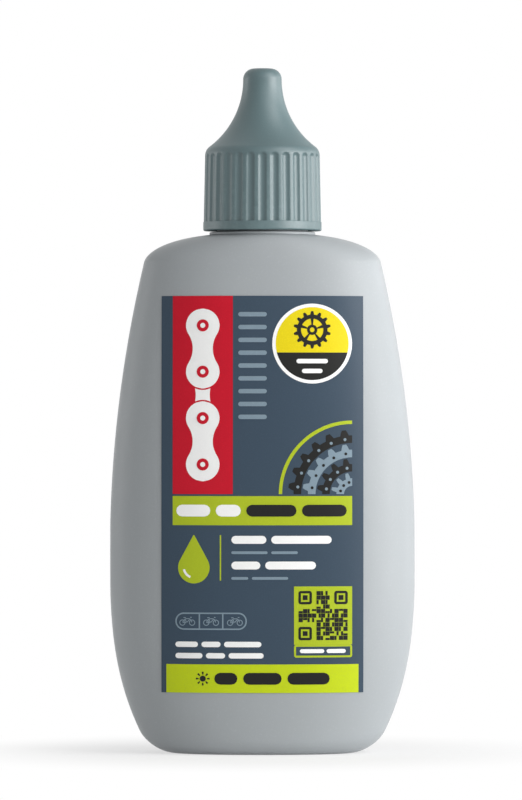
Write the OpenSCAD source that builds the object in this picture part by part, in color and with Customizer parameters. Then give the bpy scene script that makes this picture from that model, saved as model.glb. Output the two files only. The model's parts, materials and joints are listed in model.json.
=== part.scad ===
// Squeeze bottle for chain lubricant, with a ribbed screw cap and a printed front label.
// It stands on the plane z = 0 with its axis on Z. The front, with the label, faces -Y.

/* [Bottle body] */
// Height of the shoulder's top, where the neck begins
body_h = 106; // [100:0.5:120]
// Half width at the widest point, seen from the front
belly_half_w = 31.2; // [28:0.2:35]
// Half depth at the deepest point, seen from the side
belly_half_d = 15.6; // [14.6:0.2:18]
// Height of the widest point
belly_z = 41; // [34:1:50]
// Half width where the side wall meets the shoulder
shoulder_half_w = 24.2; // [22.6:0.2:27]
// Half depth where the front wall meets the shoulder
shoulder_half_d = 12.9; // [12.1:0.1:14.4]
// Height of the shoulder's dome, from the side wall up to the neck
shoulder_h = 5.6; // [4.6:0.2:8]
// How far the dome runs out from the neck before it turns down
dome_reach = 9.2; // [7:0.2:11]
// How far the dome has sunk at that point
dome_fall = 0.85; // [0.4:0.05:1.4]
// Length of the corner that turns from the dome into the side wall
corner_h = 2; // [1:0.1:3]
// Half width that the side wall aims at on the table
foot_half_w = 22.7; // [20:0.2:26]
// Half depth that the front wall aims at on the table
foot_half_d = 13.3; // [12.4:0.1:14.5]
// How late the wall curves in towards the foot
foot_curve = 2.87; // [2:0.01:4]
// Rounding of the bottom edge, seen from the front
foot_r_w = 4.5; // [3:0.1:6]
// Rounding of the bottom edge, seen from the side
foot_r_d = 3; // [2.4:0.1:4]
// Roundness of the oval section, where 2 is an ellipse and more is squarer
section_n = 2.3; // [2:0.05:2.8]
// Wall thickness of the blown body
wall = 1.1; // [0.8:0.05:1.6]
// Width of the flat ring that the bottle stands on
stand_w = 2.2; // [1.4:0.1:3]
// Height of the hollow under the base
push_h = 1.2; // [0.6:0.1:2]
// How far the hollow's slope runs in from the standing ring
push_slope = 2.5; // [1.5:0.1:3.5]

/* [Neck] */
// Radius of the neck under its thread
neck_r = 9.3; // [9:0.05:9.5]
// Radius of the bore
bore_r = 7.9; // [7.2:0.05:8.1]
// Height of the neck above the shoulder
neck_h = 12.6; // [11:0.1:14]
// Radius of the collar that shows under the cap
collar_r = 10.85; // [10.6:0.05:11.4]
// Height of the collar above the shoulder
collar_h = 0.5; // [0.3:0.05:1]

/* [Dropper insert] */
// Bite of the plug in the bore
plug_bite = 0.05; // [0.01:0.01:0.08]
// Length of the plug below its flange
plug_h = 8; // [6:0.1:10]
// Wall of the plug
plug_wall = 1.1; // [0.8:0.05:1.4]
// How far the flange stops short of the neck's outside
flange_inset = 0.1; // [0:0.05:0.4]
// Thickness of the flange
flange_h = 1; // [0.8:0.05:1.4]
// Height of the nozzle above the flange
nozzle_h = 15.4; // [13:0.1:16.2]
// Radius of the nozzle at its root
nozzle_root_r = 4.8; // [4.2:0.1:5.4]
// Radius of the nozzle at its tip
nozzle_tip_r = 2.05; // [1.8:0.05:2.2]
// Radius of the passage at the nozzle's root
passage_root_r = 3.5; // [2.8:0.1:3.6]
// Radius of the passage under the drip hole
passage_tip_r = 1.15; // [0.9:0.05:1.2]
// Radius of the drip hole
drip_r = 0.6; // [0.5:0.05:0.8]
// Length of the drip hole
drip_h = 3; // [2.2:0.1:4]

/* [Cap] */
// Gap between the neck's collar and the cap's rim
rim_gap = 0.3; // [0.2:0.05:1]
// Height of the cap
cap_h = 33.3; // [33:0.1:36]
// Radius of the plain band round the rim
band_r = 12.13; // [11.9:0.05:12.6]
// Height of that band
band_h = 1.85; // [1.2:0.05:3]
// Radius over the ribs just above the band
skirt_r = 12.02; // [11.8:0.02:12.4]
// Radius over the ribs where the skirt turns into the shoulder
skirt_top_r = 11.74; // [11.6:0.02:12]
// Rounding of the cap's shoulder
cap_shoulder_r = 2.2; // [1.6:0.1:2.6]
// Radius of the bell's hollow curve from the shoulder to the nose
flare_r = 17.3; // [16.5:0.1:18.5]
// Radius of the nose
nose_r = 3.95; // [3.85:0.05:4.4]
// Rounding of the nose's tip
tip_round = 2.2; // [1.6:0.1:2.4]
// Radius of the threaded bore over its thread
cap_bore_r = 10.45; // [10.35:0.05:10.6]
// Wall of the bell and the nose
cap_wall = 1.5; // [1.3:0.05:1.6]
// Wall above the hollow of the nose
tip_wall = 2; // [1.6:0.1:2.4]
// Radius of the ledge's inner edge, over the washer
ledge_r = 8.2; // [7.6:0.1:8.6]
// Number of grooves between the ribs
groove_count = 30; // [24:1:32]
// Radius of the round cutter that leaves each groove
groove_r = 1.1; // [0.9:0.05:1.3]
// Depth of each groove
groove_depth = 0.4; // [0.2:0.05:0.5]
// Clearance of the sealing pin in the drip hole
pin_clear = 0.1; // [0.05:0.01:0.1]
// How far the sealing pin reaches into the drip hole
pin_reach = 1.5; // [0.8:0.1:2]

/* [Cap washer] */
// Thickness of the washer
washer_h = 1; // [0.8:0.05:1.3]
// Gap between the washer and the cap's bore
washer_clear = 0.35; // [0.3:0.05:0.5]
// Radius of the washer's hole
washer_hole_r = 6; // [5.6:0.1:7]

/* [Label] */
// Width of the label, seen from the front
label_w = 41; // [38:0.5:43]
// Height of the label
label_h = 80.5; // [78:0.5:84]
// Height of its lower edge
label_z = 12.8; // [10:0.1:15]
// Gap left under the film for its glue
glue_gap = 0.1; // [0.08:0.01:0.15]
// Thickness of the film
film_t = 0.14; // [0.1:0.01:0.2]
// Thickness of one layer of ink
ink_t = 0.06; // [0.05:0.01:0.08]
// Gap under each layer of ink
ink_gap = 0.03; // [0.02:0.01:0.04]

/* [Label print] */
// Margin of the upper fields from the label's sides
field_margin = 2.3; // [1.5:0.1:3]
// Width of the red panel
red_w = 12.2; // [10:0.1:13]
// Height of the red panel, down from the label's top
red_h = 40.2; // [38.5:0.1:41]
// Number of pitches in the drawn chain
link_count = 3; // [1:2:3]
// Gap between the drawn chain and the red panel's ends
chain_margin = 2.6; // [1.5:0.1:3.5]
// Radius of an outer plate's rounded end
link_r = 3.4; // [2.6:0.1:3.6]
// Number of pale ticks beside the red panel
tick_count = 9; // [5:1:9]
// Distance between two ticks
tick_step = 2.6; // [1.6:0.1:2.6]
// Height of the upper lime band
band_field_h = 5.9; // [5:0.1:6.4]
// Gap between the red panel and the upper lime band
band_field_gap = 0.4; // [0.2:0.1:1]
// Height of the lime band along the lower edge
foot_field_h = 5.8; // [5:0.1:6.4]
// Margin of that band from the label's sides
foot_field_margin = 1; // [0.5:0.1:2]
// Radius of the round badge
badge_r = 8.1; // [7:0.1:8.2]
// Gap between the badge and the label's top
badge_drop = 1.6; // [1:0.1:2.4]
// Width of the badge's white rim
badge_rim = 0.7; // [0.5:0.1:1]
// Height of the dark part at the foot of the badge
badge_dark_h = 5.6; // [5:0.1:6.2]
// Number of teeth on the badge's cog
cog_teeth = 14; // [10:1:16]
// Number of sprockets in the drawn stack, of which a quarter shows
sprocket_count = 4; // [2:1:4]
// Distance from one sprocket to the next
sprocket_step = 2.9; // [2.5:0.1:2.9]
// Number of teeth that show on the largest sprocket
tooth_count = 6; // [5:1:8]
// Radius over the teeth of the largest sprocket
ring_r = 13; // [12:0.1:13.4]
// Width of the lime arc round the sprockets
arc_w = 0.7; // [0.4:0.1:1]
// Gap between the largest sprocket's teeth and the arc
arc_gap = 1.2; // [0.6:0.1:1.4]
// Height of a bar that stands for a heading
bar_h = 1.9; // [1.4:0.1:2.2]
// Height of a bar that stands for a line of small print
small_h = 0.9; // [0.6:0.1:1.2]
// Height of a bar that stands for a line of the note near the foot
note_h = 1.4; // [1:0.1:1.6]
// Height of the bars that stand for words in the two bands
word_h = 2.4; // [1.6:0.1:3]
// Width of the thin printed lines
line_w = 0.4; // [0.3:0.05:0.6]
// Width of the drawn drop of oil
drop_w = 6.4; // [5:0.1:7]
// Height of the drawn drop of oil
drop_h = 9.8; // [9:0.1:11]
// Side of the checked square
code_side = 11.8; // [10:0.1:12.6]
// Cells along a side of the checked square
code_cells = 11; // [9:2:13]
// Width of the frame with three cells
pill_w = 14.5; // [12:0.1:15]
// Height of that frame
pill_h = 3.5; // [2.8:0.1:4]

/* [Hidden] */

$fn = 96;

// Colours, as the photograph shows them
grey_plastic = [0.69, 0.7, 0.71];
milky_plastic = [0.88, 0.88, 0.85];
cap_plastic = [0.42, 0.48, 0.5];
foam_white = [0.9, 0.9, 0.88];
slate = [0.25, 0.32, 0.38];
red_ink = [0.8, 0.1, 0.17];
lime_ink = [0.74, 0.8, 0.14];
yellow_ink = [0.98, 0.86, 0.05];
white_ink = [0.95, 0.95, 0.94];
grey_ink = [0.56, 0.63, 0.69];
dark_ink = [0.13, 0.14, 0.15];

// Sides of the oval, and rings along the foot, the wall and the dome, outside and inside
oval_sides = 56;
outer_rings = [6, 15, 9];
inner_rings = [3, 8, 5];
// Radius of the dome's innermost ring, which the collar covers
root_r = collar_r - 0.25;
overlap = 0.5;

// Heights of the stack above the shoulder
shoulder_z = body_h - shoulder_h;
neck_top = body_h + neck_h;
flange_top = neck_top + flange_h;
seat_z = flange_top + washer_h;
nozzle_top = flange_top + nozzle_h;
rim_z = body_h + collar_h + rim_gap;
cap_top = rim_z + cap_h;

// The wall's half width and half depth at height z, before the bottom edge is rounded
function swell(z, belly, shoulder, foot) =
  z > belly_z
    ? belly - (belly - shoulder) * pow((z - belly_z) / (shoulder_z - belly_z), 2)
    : belly - (belly - foot) * pow((belly_z - z) / belly_z, foot_curve);
function wall_w(z) = swell(z, belly_half_w, shoulder_half_w, foot_half_w);
function wall_d(z) = swell(z, belly_half_d, shoulder_half_d, foot_half_d);

// How far a rounding of radius r has pulled the wall in at height h above its start
function round_in(h, r) = h >= r ? 0 : r - sqrt(max(0, r * r - (r - h) * (r - h)));

// A point on the cubic curve through four handles
function curve4(p, t) =
  pow(1 - t, 3) * p[0] + 3 * t * pow(1 - t, 2) * p[1]
  + 3 * t * t * (1 - t) * p[2] + pow(t, 3) * p[3];

// The dome in the front view, from the side wall (t = 0) to the neck (t = 1), moved in by inset
side_lean = -2 * (belly_half_w - shoulder_half_w) / (shoulder_z - belly_z);
dome_handles = [
  [shoulder_half_w, shoulder_z],
  [shoulder_half_w + side_lean * corner_h, shoulder_z + corner_h],
  [root_r + dome_reach, body_h - dome_fall],
  [root_r, body_h]
];
function dome_normal(t) =
  let (d = curve4(dome_handles, min(1, t + 0.01)) - curve4(dome_handles, max(0, t - 0.01)))
  [d[1], -d[0]] / norm(d);
function dome_point(t, inset) = curve4(dome_handles, t) - inset * dome_normal(t);

// The same dome in the side view: half depth at height z
function dome_d(z) =
  let (u = max(0, min(1, (z - shoulder_z) / shoulder_h)))
  root_r + (wall_d(z) - root_r) * sqrt(1 - u * u);

// A ring is [height, half width, half depth, roundness]
function foot_ring(z, inset) = [
  z,
  wall_w(z) - inset - round_in(z - inset, foot_r_w - inset),
  wall_d(z) - inset - round_in(z - inset, foot_r_d - inset),
  section_n
];
function dome_ring(t, inset) =
  let (p = dome_point(t, inset))
  [p[1], p[0], dome_d(p[1]) - inset, section_n + (2 - section_n) * t];
// The hollow under the base and the standing ring, from the middle outwards
function base_rings(inset) =
  let (edge = foot_ring(inset, inset), run = stand_w + push_slope)
  [
    [push_h + inset, edge[1] - run, edge[2] - run, section_n],
    [inset, edge[1] - stand_w, edge[2] - stand_w, section_n]
  ];
function body_rings(inset, count) = concat(
  base_rings(inset),
  [
    for (i = [0 : count[0] - 1])
      foot_ring(inset + (foot_r_w - inset) * (1 - cos(90 * i / count[0])), inset)
  ],
  [
    for (i = [0 : count[1] - 1])
      foot_ring(foot_r_w + (shoulder_z - foot_r_w) * i / count[1], inset)
  ],
  [for (i = [0 : count[2]]) dome_ring(i / count[2], inset)]
);

// One point of the oval at an angle
function power(v, e) = sign(v) * pow(abs(v), e);
function oval_point(r, a) = [
  r[1] * power(cos(a), 2 / r[3]),
  r[2] * power(sin(a), 2 / r[3]),
  r[0]
];

// A closed solid through a list of rings, from bottom to top
module loft(rings) {
  n = oval_sides;
  last = len(rings) - 1;
  points = [for (r = rings, i = [0 : n - 1]) oval_point(r, 360 * i / n)];
  sides = [
    for (k = [0 : last - 1], i = [0 : n - 1])
      let (j = (i + 1) % n, a = k * n, b = a + n)
      each [[a + i, b + i, a + j], [a + j, b + i, b + j]]
  ];
  bottom = [[for (i = [0 : n - 1]) i]];
  top = [[for (i = [n - 1 : -1 : 0]) last * n + i]];
  polyhedron(points, concat(bottom, sides, top), convexity = 6);
}

// The neck and its collar, turned about the axis, as a solid
module neck_blank() {
  edge = 0.4;
  rotate_extrude()
    polygon([
      [0, body_h - overlap],
      [collar_r, body_h - overlap],
      [collar_r, body_h + collar_h],
      [neck_r, body_h + collar_h],
      [neck_r, neck_top - edge],
      [neck_r - edge, neck_top],
      [0, neck_top]
    ]);
}

module bottle() {
  color(grey_plastic)
    difference() {
      union() {
        loft(body_rings(0, outer_rings));
        neck_blank();
      }
      loft(body_rings(wall, inner_rings));
      translate([0, 0, body_h - wall - overlap])
        cylinder(r = bore_r, h = neck_h + wall + 2 * overlap);
    }
}

// The plug that closes the neck, with its flange and the dropper nozzle in one moulding
module dropper_insert() {
  plug_r = bore_r + plug_bite;
  lead_in = 0.4;
  root_round = 1;
  tip_edge = 0.5;
  drip_z = nozzle_top - drip_h;
  color(milky_plastic)
    rotate_extrude()
      polygon([
        [plug_r - plug_wall, neck_top - plug_h],
        [plug_r - lead_in, neck_top - plug_h],
        [plug_r, neck_top - plug_h + lead_in],
        [plug_r, neck_top],
        [neck_r - flange_inset, neck_top],
        [neck_r - flange_inset, flange_top],
        [nozzle_root_r + root_round, flange_top],
        [nozzle_root_r, flange_top + root_round],
        [nozzle_tip_r, nozzle_top - tip_edge],
        [nozzle_tip_r - tip_edge, nozzle_top],
        [drip_r, nozzle_top],
        [drip_r, drip_z],
        [passage_tip_r, drip_z - passage_tip_r],
        [passage_root_r, neck_top],
        [plug_r - plug_wall, neck_top]
      ]);
}

// Where the bell's hollow curve, the nose and the shoulder meet
nose_z = cap_top - tip_round;
flare_x = nose_r + flare_r;
shoulder_x = skirt_top_r - cap_shoulder_r;
cap_shoulder_z = nose_z
  - sqrt(pow(flare_r + cap_shoulder_r, 2) - pow(flare_x - shoulder_x, 2));
toward_flare = [flare_x - shoulder_x, nose_z - cap_shoulder_z] / (flare_r + cap_shoulder_r);
bell_foot = [shoulder_x, cap_shoulder_z] + cap_shoulder_r * toward_flare;

// Half of the cap's outside, to be turned about the axis
module cap_outline() {
  rim_edge = 0.3;
  polygon([
    [0, rim_z],
    [band_r - rim_edge, rim_z],
    [band_r, rim_z + rim_edge],
    [band_r, rim_z + band_h],
    [skirt_r, rim_z + band_h],
    [skirt_top_r, cap_shoulder_z],
    [0, cap_shoulder_z]
  ]);
  intersection() {
    translate([shoulder_x, cap_shoulder_z]) circle(r = cap_shoulder_r);
    translate([shoulder_x, cap_shoulder_z]) square(cap_shoulder_r * 2);
  }
  difference() {
    polygon([
      [0, cap_shoulder_z],
      [shoulder_x, cap_shoulder_z],
      bell_foot,
      [bell_foot[0], nose_z],
      [0, nose_z]
    ]);
    translate([flare_x, nose_z]) circle(r = flare_r);
  }
  translate([0, nose_z]) square([nose_r - tip_round, tip_round]);
  intersection() {
    translate([nose_r - tip_round, nose_z]) circle(r = tip_round);
    translate([0, nose_z]) square(nose_r + tip_round);
  }
}

// Half of the cap's hollow: the threaded bore, the ledge over the washer, the bell and the nose
module cap_hollow() {
  translate([0, rim_z - overlap]) square([cap_bore_r, seat_z - rim_z + overlap]);
  difference() {
    translate([0, seat_z - overlap])
      square([ledge_r, cap_top - tip_wall - seat_z + overlap]);
    translate([flare_x, nose_z]) circle(r = flare_r + cap_wall);
  }
}

// The round cutters that leave the ribs standing between them, leaning with the skirt
module cap_grooves() {
  low_z = rim_z + band_h;
  lean = atan((skirt_r - skirt_top_r) / (cap_shoulder_z - low_z));
  groove_h = cap_shoulder_z - low_z - groove_r / 2;
  for (i = [0 : groove_count - 1])
    // half a step turns a groove, not a rib, to the front
    rotate([0, 0, 360 * (i + 0.5) / groove_count])
      translate([skirt_r + groove_r - groove_depth, 0, low_z])
        rotate([0, -lean, 0]) {
          cylinder(r = groove_r, h = groove_h, $fn = 32);
          translate([0, 0, groove_h]) sphere(r = groove_r, $fn = 32);
        }
}

module cap() {
  pin_r = drip_r - pin_clear;
  pin_low = nozzle_top - pin_reach;
  pin_root = cap_top - tip_wall + overlap;
  color(cap_plastic)
    union() {
      difference() {
        rotate_extrude() cap_outline();
        cap_grooves();
        rotate_extrude() cap_hollow();
      }
      translate([0, 0, pin_low]) cylinder(r = pin_r, h = pin_root - pin_low);
    }
}

module cap_washer() {
  color(foam_white)
    translate([0, 0, flange_top])
      difference() {
        cylinder(r = cap_bore_r - washer_clear, h = washer_h);
        translate([0, 0, -overlap]) cylinder(r = washer_hole_r, h = washer_h + 2 * overlap);
      }
}

// The front wall's depth at a place seen from the front, lifted off the plastic by lift
function front_y(x, z, lift) =
  -(wall_d(z) + lift) * pow(1 - pow(abs(x) / (wall_w(z) + lift), section_n), 1 / section_n);

// A thin tile that follows the front wall. Its grid holds [x, z] places, in rows from low to
// high, each from left to right. A closed tile is a ring, whose rows run clockwise and meet.
module tile(grid, lift, thick, closed = false) {
  wide = len(grid[0]);
  rows = len(grid) - 1;
  cols = closed ? wide : wide - 1;
  layer = wide * (rows + 1);
  points = [
    for (l = [lift, lift + thick], row = grid, p = row)
      [p[0], front_y(p[0], p[1], l), p[1]]
  ];
  cells = [
    for (k = [0 : rows - 1], i = [0 : cols - 1])
      let (a = k * wide + i, b = k * wide + (i + 1) % wide, c = a + wide, d = b + wide)
      each [
        [a, c, b],
        [b, c, d],
        [layer + a, layer + b, layer + c],
        [layer + b, layer + d, layer + c]
      ]
  ];
  rims = [
    for (i = [0 : cols - 1])
      let (j = (i + 1) % wide, t = rows * wide)
      each [
        [i, j, layer + j, layer + i],
        [t + j, t + i, layer + t + i, layer + t + j]
      ]
  ];
  flanks = [
    for (k = [0 : rows - 1])
      let (a = k * wide, b = a + wide, c = a + cols, d = b + cols)
      each [
        [b, a, layer + a, layer + b],
        [c, d, layer + d, layer + c]
      ]
  ];
  polyhedron(points, concat(cells, rims, closed ? [] : flanks), convexity = 6);
}

// A printed tile in a layer of ink, where layer 1 lies on the film
module ink(layer, grid, closed = false) {
  tile(grid, glue_gap + film_t + ink_gap + (layer - 1) * (ink_t + ink_gap), ink_t, closed);
}

// Grids for the print's simple shapes
cell_w = 3.2;
cell_h = 6;
function bar(x, z, w, h) =
  let (cols = max(1, ceil(w / cell_w)), rows = max(1, ceil(h / cell_h)))
  [for (k = [0 : rows]) [for (i = [0 : cols]) [x + w * i / cols, z + h * k / rows]]];
// A shape that is the same left and right of x, through a list of [height, half width]
function spindle(x, rows, cols = 2) = [
  for (r = rows) [for (i = [0 : cols]) [x + r[1] * (2 * i / cols - 1), r[0]]]
];
// A round spot, or the part of it between two angles above the level line
flat_end = 80;
function disc(at, r, count = 8, cols = 2, low = -flat_end, high = flat_end) =
  spindle(
    at[0],
    [
      for (k = [0 : count])
        let (a = low + (high - low) * k / count)
        [at[1] + r * sin(a), r * cos(a)]
    ],
    cols
  );
// A ring or an arc between two radii, clockwise from one angle to another
function arc(at, radii, from, to, count) = [
  for (r = radii)
    [for (i = [0 : count]) let (a = from + (to - from) * i / count) at + r * [cos(a), sin(a)]]
];
function ring(at, radii, count) = arc(at, radii, 360, 360 / count, count - 1);
// A toothed ring, or an open part of one: each tooth has sloping flanks and a flat tip
tooth_shape = [[0, 0], [0.22, 0], [0.36, 1], [0.64, 1], [0.78, 0]];
function toothed(at, r_in, r_out, depth, from, step, teeth, open = false) =
  let (
    turns = [
      for (i = [0 : teeth - 1], c = tooth_shape) [i + c[0], c[1]],
      if (open) [teeth, 0]
    ]
  )
  [
    [for (t = turns) polar(at, r_in, from - t[0] * step)],
    [for (t = turns) polar(at, r_out - depth * (1 - t[1]), from - t[0] * step)]
  ];
function polar(at, r, a) = at + r * [cos(a), sin(a)];

module label() {
  cols = 12;
  rows = 10;
  crowd = 70;
  color(slate)
    tile(
      [
        for (k = [0 : rows])
          [
            for (i = [0 : cols])
              // the columns are narrower towards the sides, where the wall curves away
              [
                label_w / 2 * sin(crowd * (2 * i / cols - 1)) / sin(crowd),
                label_z + label_h * k / rows
              ]
          ]
      ],
      glue_gap,
      film_t
    );
}

// Gaps between columns of print, lines of print, and a thin rule and what it divides
column_gap = 1.1;
line_gap = 1.2;
rule_gap = 2;

// Places of the upper fields
label_top = label_z + label_h;
left_x = -label_w / 2 + field_margin;
right_x = label_w / 2 - field_margin;
field_w = right_x - left_x;
red_z = label_top - red_h;
chain_x = left_x + red_w / 2;
chain_z = red_z + chain_margin + link_r;
link_pitch = (red_h - 2 * (chain_margin + link_r)) / link_count;
badge_at = [right_x - badge_r, label_top - badge_drop - badge_r];
badge_in_r = badge_r - badge_rim;
badge_split_z = badge_at[1] - badge_in_r + badge_dark_h;
tick_x = left_x + red_w + column_gap;
tick_w = badge_at[0] - badge_r - column_gap - tick_x;
band_z = red_z - band_field_gap - band_field_h;
band_word_z = band_z + (band_field_h - word_h) / 2;

// Places of the drop, the rule and the two headings with small print under each
block_top = band_z - rule_gap;
text_step = bar_h + small_h + 2 * line_gap;
block_h = 2 * text_step - line_gap;
drop_x = left_x + column_gap + drop_w / 2;
rule_x = drop_x + drop_w / 2 + rule_gap;
text_x = rule_x + line_w + rule_gap;
text_w = right_x - text_x;

// Places of the lowest fields
foot_top = label_z + foot_field_h;
foot_x = -label_w / 2 + foot_field_margin;
foot_w = label_w - 2 * foot_field_margin;
foot_word_z = label_z + (foot_field_h - word_h) / 2;
code_at = [right_x - code_side, block_top - block_h - line_gap - code_side];
note_x = left_x + column_gap / 2;
note_z = foot_top + line_gap;
note_w = code_at[0] - column_gap - note_x;
note_step = note_h + line_gap * 0.75;
pill_z = note_z + 2 * note_step + line_gap;

// The words of each printed line as [start, width], in shares of the line's width
band_white_words = [[0.02, 0.19], [0.24, 0.14]];
band_dark_words = [[0.41, 0.28], [0.72, 0.25]];
foot_dark_words = [[0.25, 0.12], [0.4, 0.2], [0.63, 0.22]];
heading_words = [
  [[0, 0.29], [0.33, 0.5]],
  [[0, 0.24], [0.28, 0.42]]
];
small_words = [[[0, 0.55]], [[0, 0.47]]];
note_words = [[[0, 0.78]], [[0, 0.76]]];
module words(layer, x, z, w, h, line) {
  for (word = line) ink(layer, bar(x + w * word[0], z, w * word[1], h));
}

// An outer plate runs from its lower pin to its upper one, with round ends and a waist
link_waist = link_r * 0.6;
link_pin_r = link_r * 0.36;
link_end = link_r * 0.97;
function link_half_w(h) =
  let (past_pin = max(-h, h - link_pitch), to_pin = min(abs(h), abs(h - link_pitch)))
  past_pin > 0
    ? sqrt(link_r * link_r - past_pin * past_pin)
    : max(link_waist, sqrt(max(0, link_r * link_r - to_pin * to_pin)));
function link_plate(x, z) =
  let (count = 18, long = link_pitch + 2 * link_end)
  spindle(
    x,
    [for (k = [0 : count]) let (h = long * k / count - link_end) [z + h, link_half_w(h)]]
  );
// Between two outer plates shows the waist of an inner one, cut round where they cover it
inner_waist = link_r * 0.42;
inner_flare = link_r * 0.3;
inner_gap = 0.3;
function inner_plate(x, z) =
  let (count = 4, cover = link_r + inner_gap)
  [
    for (k = [0 : count])
      let (half = inner_waist + inner_flare * pow(2 * k / count - 1, 2))
      [
        for (s = [-1 : 0.5 : 1])
          let (rise = sqrt(cover * cover - pow(half * s, 2)))
          [x + half * s, z + rise + (link_pitch - 2 * rise) * k / count]
      ]
  ];

// A drop of oil, with its round end down and a small blunt point
function drop(x, z) =
  let (r = drop_w / 2, low = -80, lean = asin(r / (drop_h - r)), point = 0.12, count = 8)
  spindle(
    x,
    concat(
      [
        for (k = [0 : count])
          let (a = low + (lean - low) * k / count)
          [z + r + r * sin(a), r * cos(a)]
      ],
      [[z + drop_h, point]]
    )
  );

// A quarter of a sprocket, where number 0 is the largest
sprocket_at = [right_x, red_z];
sprocket_gap = 0.25;
sprocket_depth = 1.1;
function sprocket(i) =
  let (r = ring_r - i * sprocket_step, teeth = tooth_count - i)
  toothed(
    sprocket_at, r - sprocket_step + sprocket_gap, r, sprocket_depth,
    180, 90 / teeth, teeth, open = true
  );

module print_red() {
  color(red_ink) {
    ink(1, bar(left_x, red_z, red_w, red_h));
    for (i = [0 : link_count])
      ink(3, disc([chain_x, chain_z + i * link_pitch], link_pin_r, 4));
  }
}

module print_lime() {
  arc_r = ring_r + arc_gap;
  color(lime_ink) {
    ink(1, bar(left_x, band_z, field_w, band_field_h));
    ink(1, bar(foot_x, label_z, foot_w, foot_field_h));
    ink(1, drop(drop_x, block_top - drop_h));
    ink(1, bar(rule_x, block_top - block_h, line_w, block_h));
    ink(1, bar(code_at[0], code_at[1], code_side, code_side));
    ink(1, arc(sprocket_at, [arc_r, arc_r + arc_w], 180, 90, 14));
  }
}

// The badge is yellow above and dark below, with a fine gap between the two inks
badge_split = asin((badge_split_z - badge_at[1]) / badge_in_r);
badge_split_gap = 0.5;

module print_yellow() {
  color(yellow_ink) ink(1, disc(badge_at, badge_in_r, 9, 6, low = badge_split));
}

module print_white() {
  badge_words = [[4.1, 6.4], [2.1, 4.2]];
  color(white_ink) {
    for (i = [0 : link_count - 1])
      ink(
        2,
        i % 2 == 0
          ? link_plate(chain_x, chain_z + i * link_pitch)
          : inner_plate(chain_x, chain_z + i * link_pitch)
      );
    words(2, left_x, band_word_z, field_w, word_h, band_white_words);
    ink(1, ring(badge_at, [badge_in_r + ink_gap, badge_r], 32), closed = true);
    // two short lines on the dark part, as [height over the badge's foot, width]
    for (line = badge_words)
      ink(
        2,
        bar(badge_at[0] - line[1] / 2, badge_at[1] - badge_r + line[0], line[1], small_h)
      );
    for (i = [0 : 1]) {
      words(1, text_x, block_top - i * text_step - bar_h, text_w, bar_h, heading_words[i]);
      words(1, note_x, note_z + i * note_step, note_w, note_h, note_words[i]);
    }
  }
}

module print_grey() {
  small_drop = bar_h + line_gap + small_h;
  pill_inside = pill_h - 2 * line_w - 2 * ink_gap;
  pill_ring = [0.5, 0.85];
  color(grey_ink) {
    for (i = [1 : tick_count])
      ink(1, bar(tick_x, label_top - badge_drop - i * tick_step, tick_w, small_h));
    for (i = [1 : 2 : sprocket_count - 1])
      ink(1, sprocket(i));
    for (i = [0 : 1])
      words(1, text_x, block_top - i * text_step - small_drop, text_w, small_h, small_words[i]);
    for (z = [pill_z, pill_z + pill_h - line_w])
      ink(1, bar(note_x, z, pill_w, line_w));
    // upright lines at both ends and between the three cells
    for (i = [0 : 3])
      ink(
        1,
        bar(note_x + (pill_w - line_w) * i / 3, pill_z + line_w + ink_gap, line_w, pill_inside)
      );
    for (i = [0 : 2])
      ink(
        1,
        ring([note_x + pill_w * (i + 0.5) / 3, pill_z + pill_h / 2], pill_ring, 12),
        closed = true
      );
  }
}

// The checked square has a framed mark in three of its corners, and scattered cells elsewhere
mark_cells = 3;
function in_mark(i, k) =
  let (last = code_cells - mark_cells - 1)
  (i < mark_cells + 1 && (k < mark_cells + 1 || k >= last)) || (i >= last && k >= last);
function is_dark_cell(i, k) = !in_mark(i, k) && (3 * i * i + 5 * k * k + i * k + 2 * k) % 11 < 5;

module code_cells_print() {
  rim = 0.9;
  gap = 0.06;
  cell = (code_side - 2 * rim) / code_cells;
  far = code_side - rim - mark_cells * cell;
  origin = code_at + [rim, rim];
  for (i = [0 : code_cells - 1], k = [0 : code_cells - 1])
    if (is_dark_cell(i, k))
      let (at = origin + cell * [i, k] + [gap, gap])
      ink(2, bar(at[0], at[1], cell - 2 * gap, cell - 2 * gap));
  for (at = [[rim, rim], [rim, far], [far, far]])
    code_mark(code_at + at, mark_cells * cell);
}

// A square frame with a spot in its middle
module code_mark(at, side) {
  line = 0.5;
  spot = side * 0.36;
  middle = at + [side, side] / 2;
  frame = [
    for (half = [side / 2 - line, side / 2])
      [for (corner = [[1, 1], [1, -1], [-1, -1], [-1, 1]]) middle + half * corner]
  ];
  ink(2, frame, closed = true);
  ink(2, bar(middle[0] - spot / 2, middle[1] - spot / 2, spot, spot));
}

module print_dark() {
  cog_at = [badge_at[0], (badge_split_z + badge_at[1] + badge_in_r) / 2];
  cog_out = badge_r * 0.46;
  cog_in = badge_r * 0.24;
  cog_depth = 0.7;
  spot_x = foot_x + foot_w * 0.19;
  color(dark_ink) {
    ink(1, disc(badge_at, badge_in_r, 7, 6, high = badge_split - badge_split_gap));
    ink(
      2,
      toothed(cog_at, cog_in, cog_out, cog_depth, 360, 360 / cog_teeth, cog_teeth),
      closed = true
    );
    for (i = [0 : 2 : sprocket_count - 1])
      ink(1, sprocket(i));
    words(2, left_x, band_word_z, field_w, word_h, band_dark_words);
    words(2, foot_x, foot_word_z, foot_w, word_h, foot_dark_words);
    ink(2, disc([spot_x, label_z + foot_field_h / 2], word_h / 2, 6));
    code_cells_print();
  }
}

bottle();
dropper_insert();
cap();
cap_washer();
label();
print_red();
print_lime();
print_yellow();
print_white();
print_grey();
print_dark();
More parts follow.
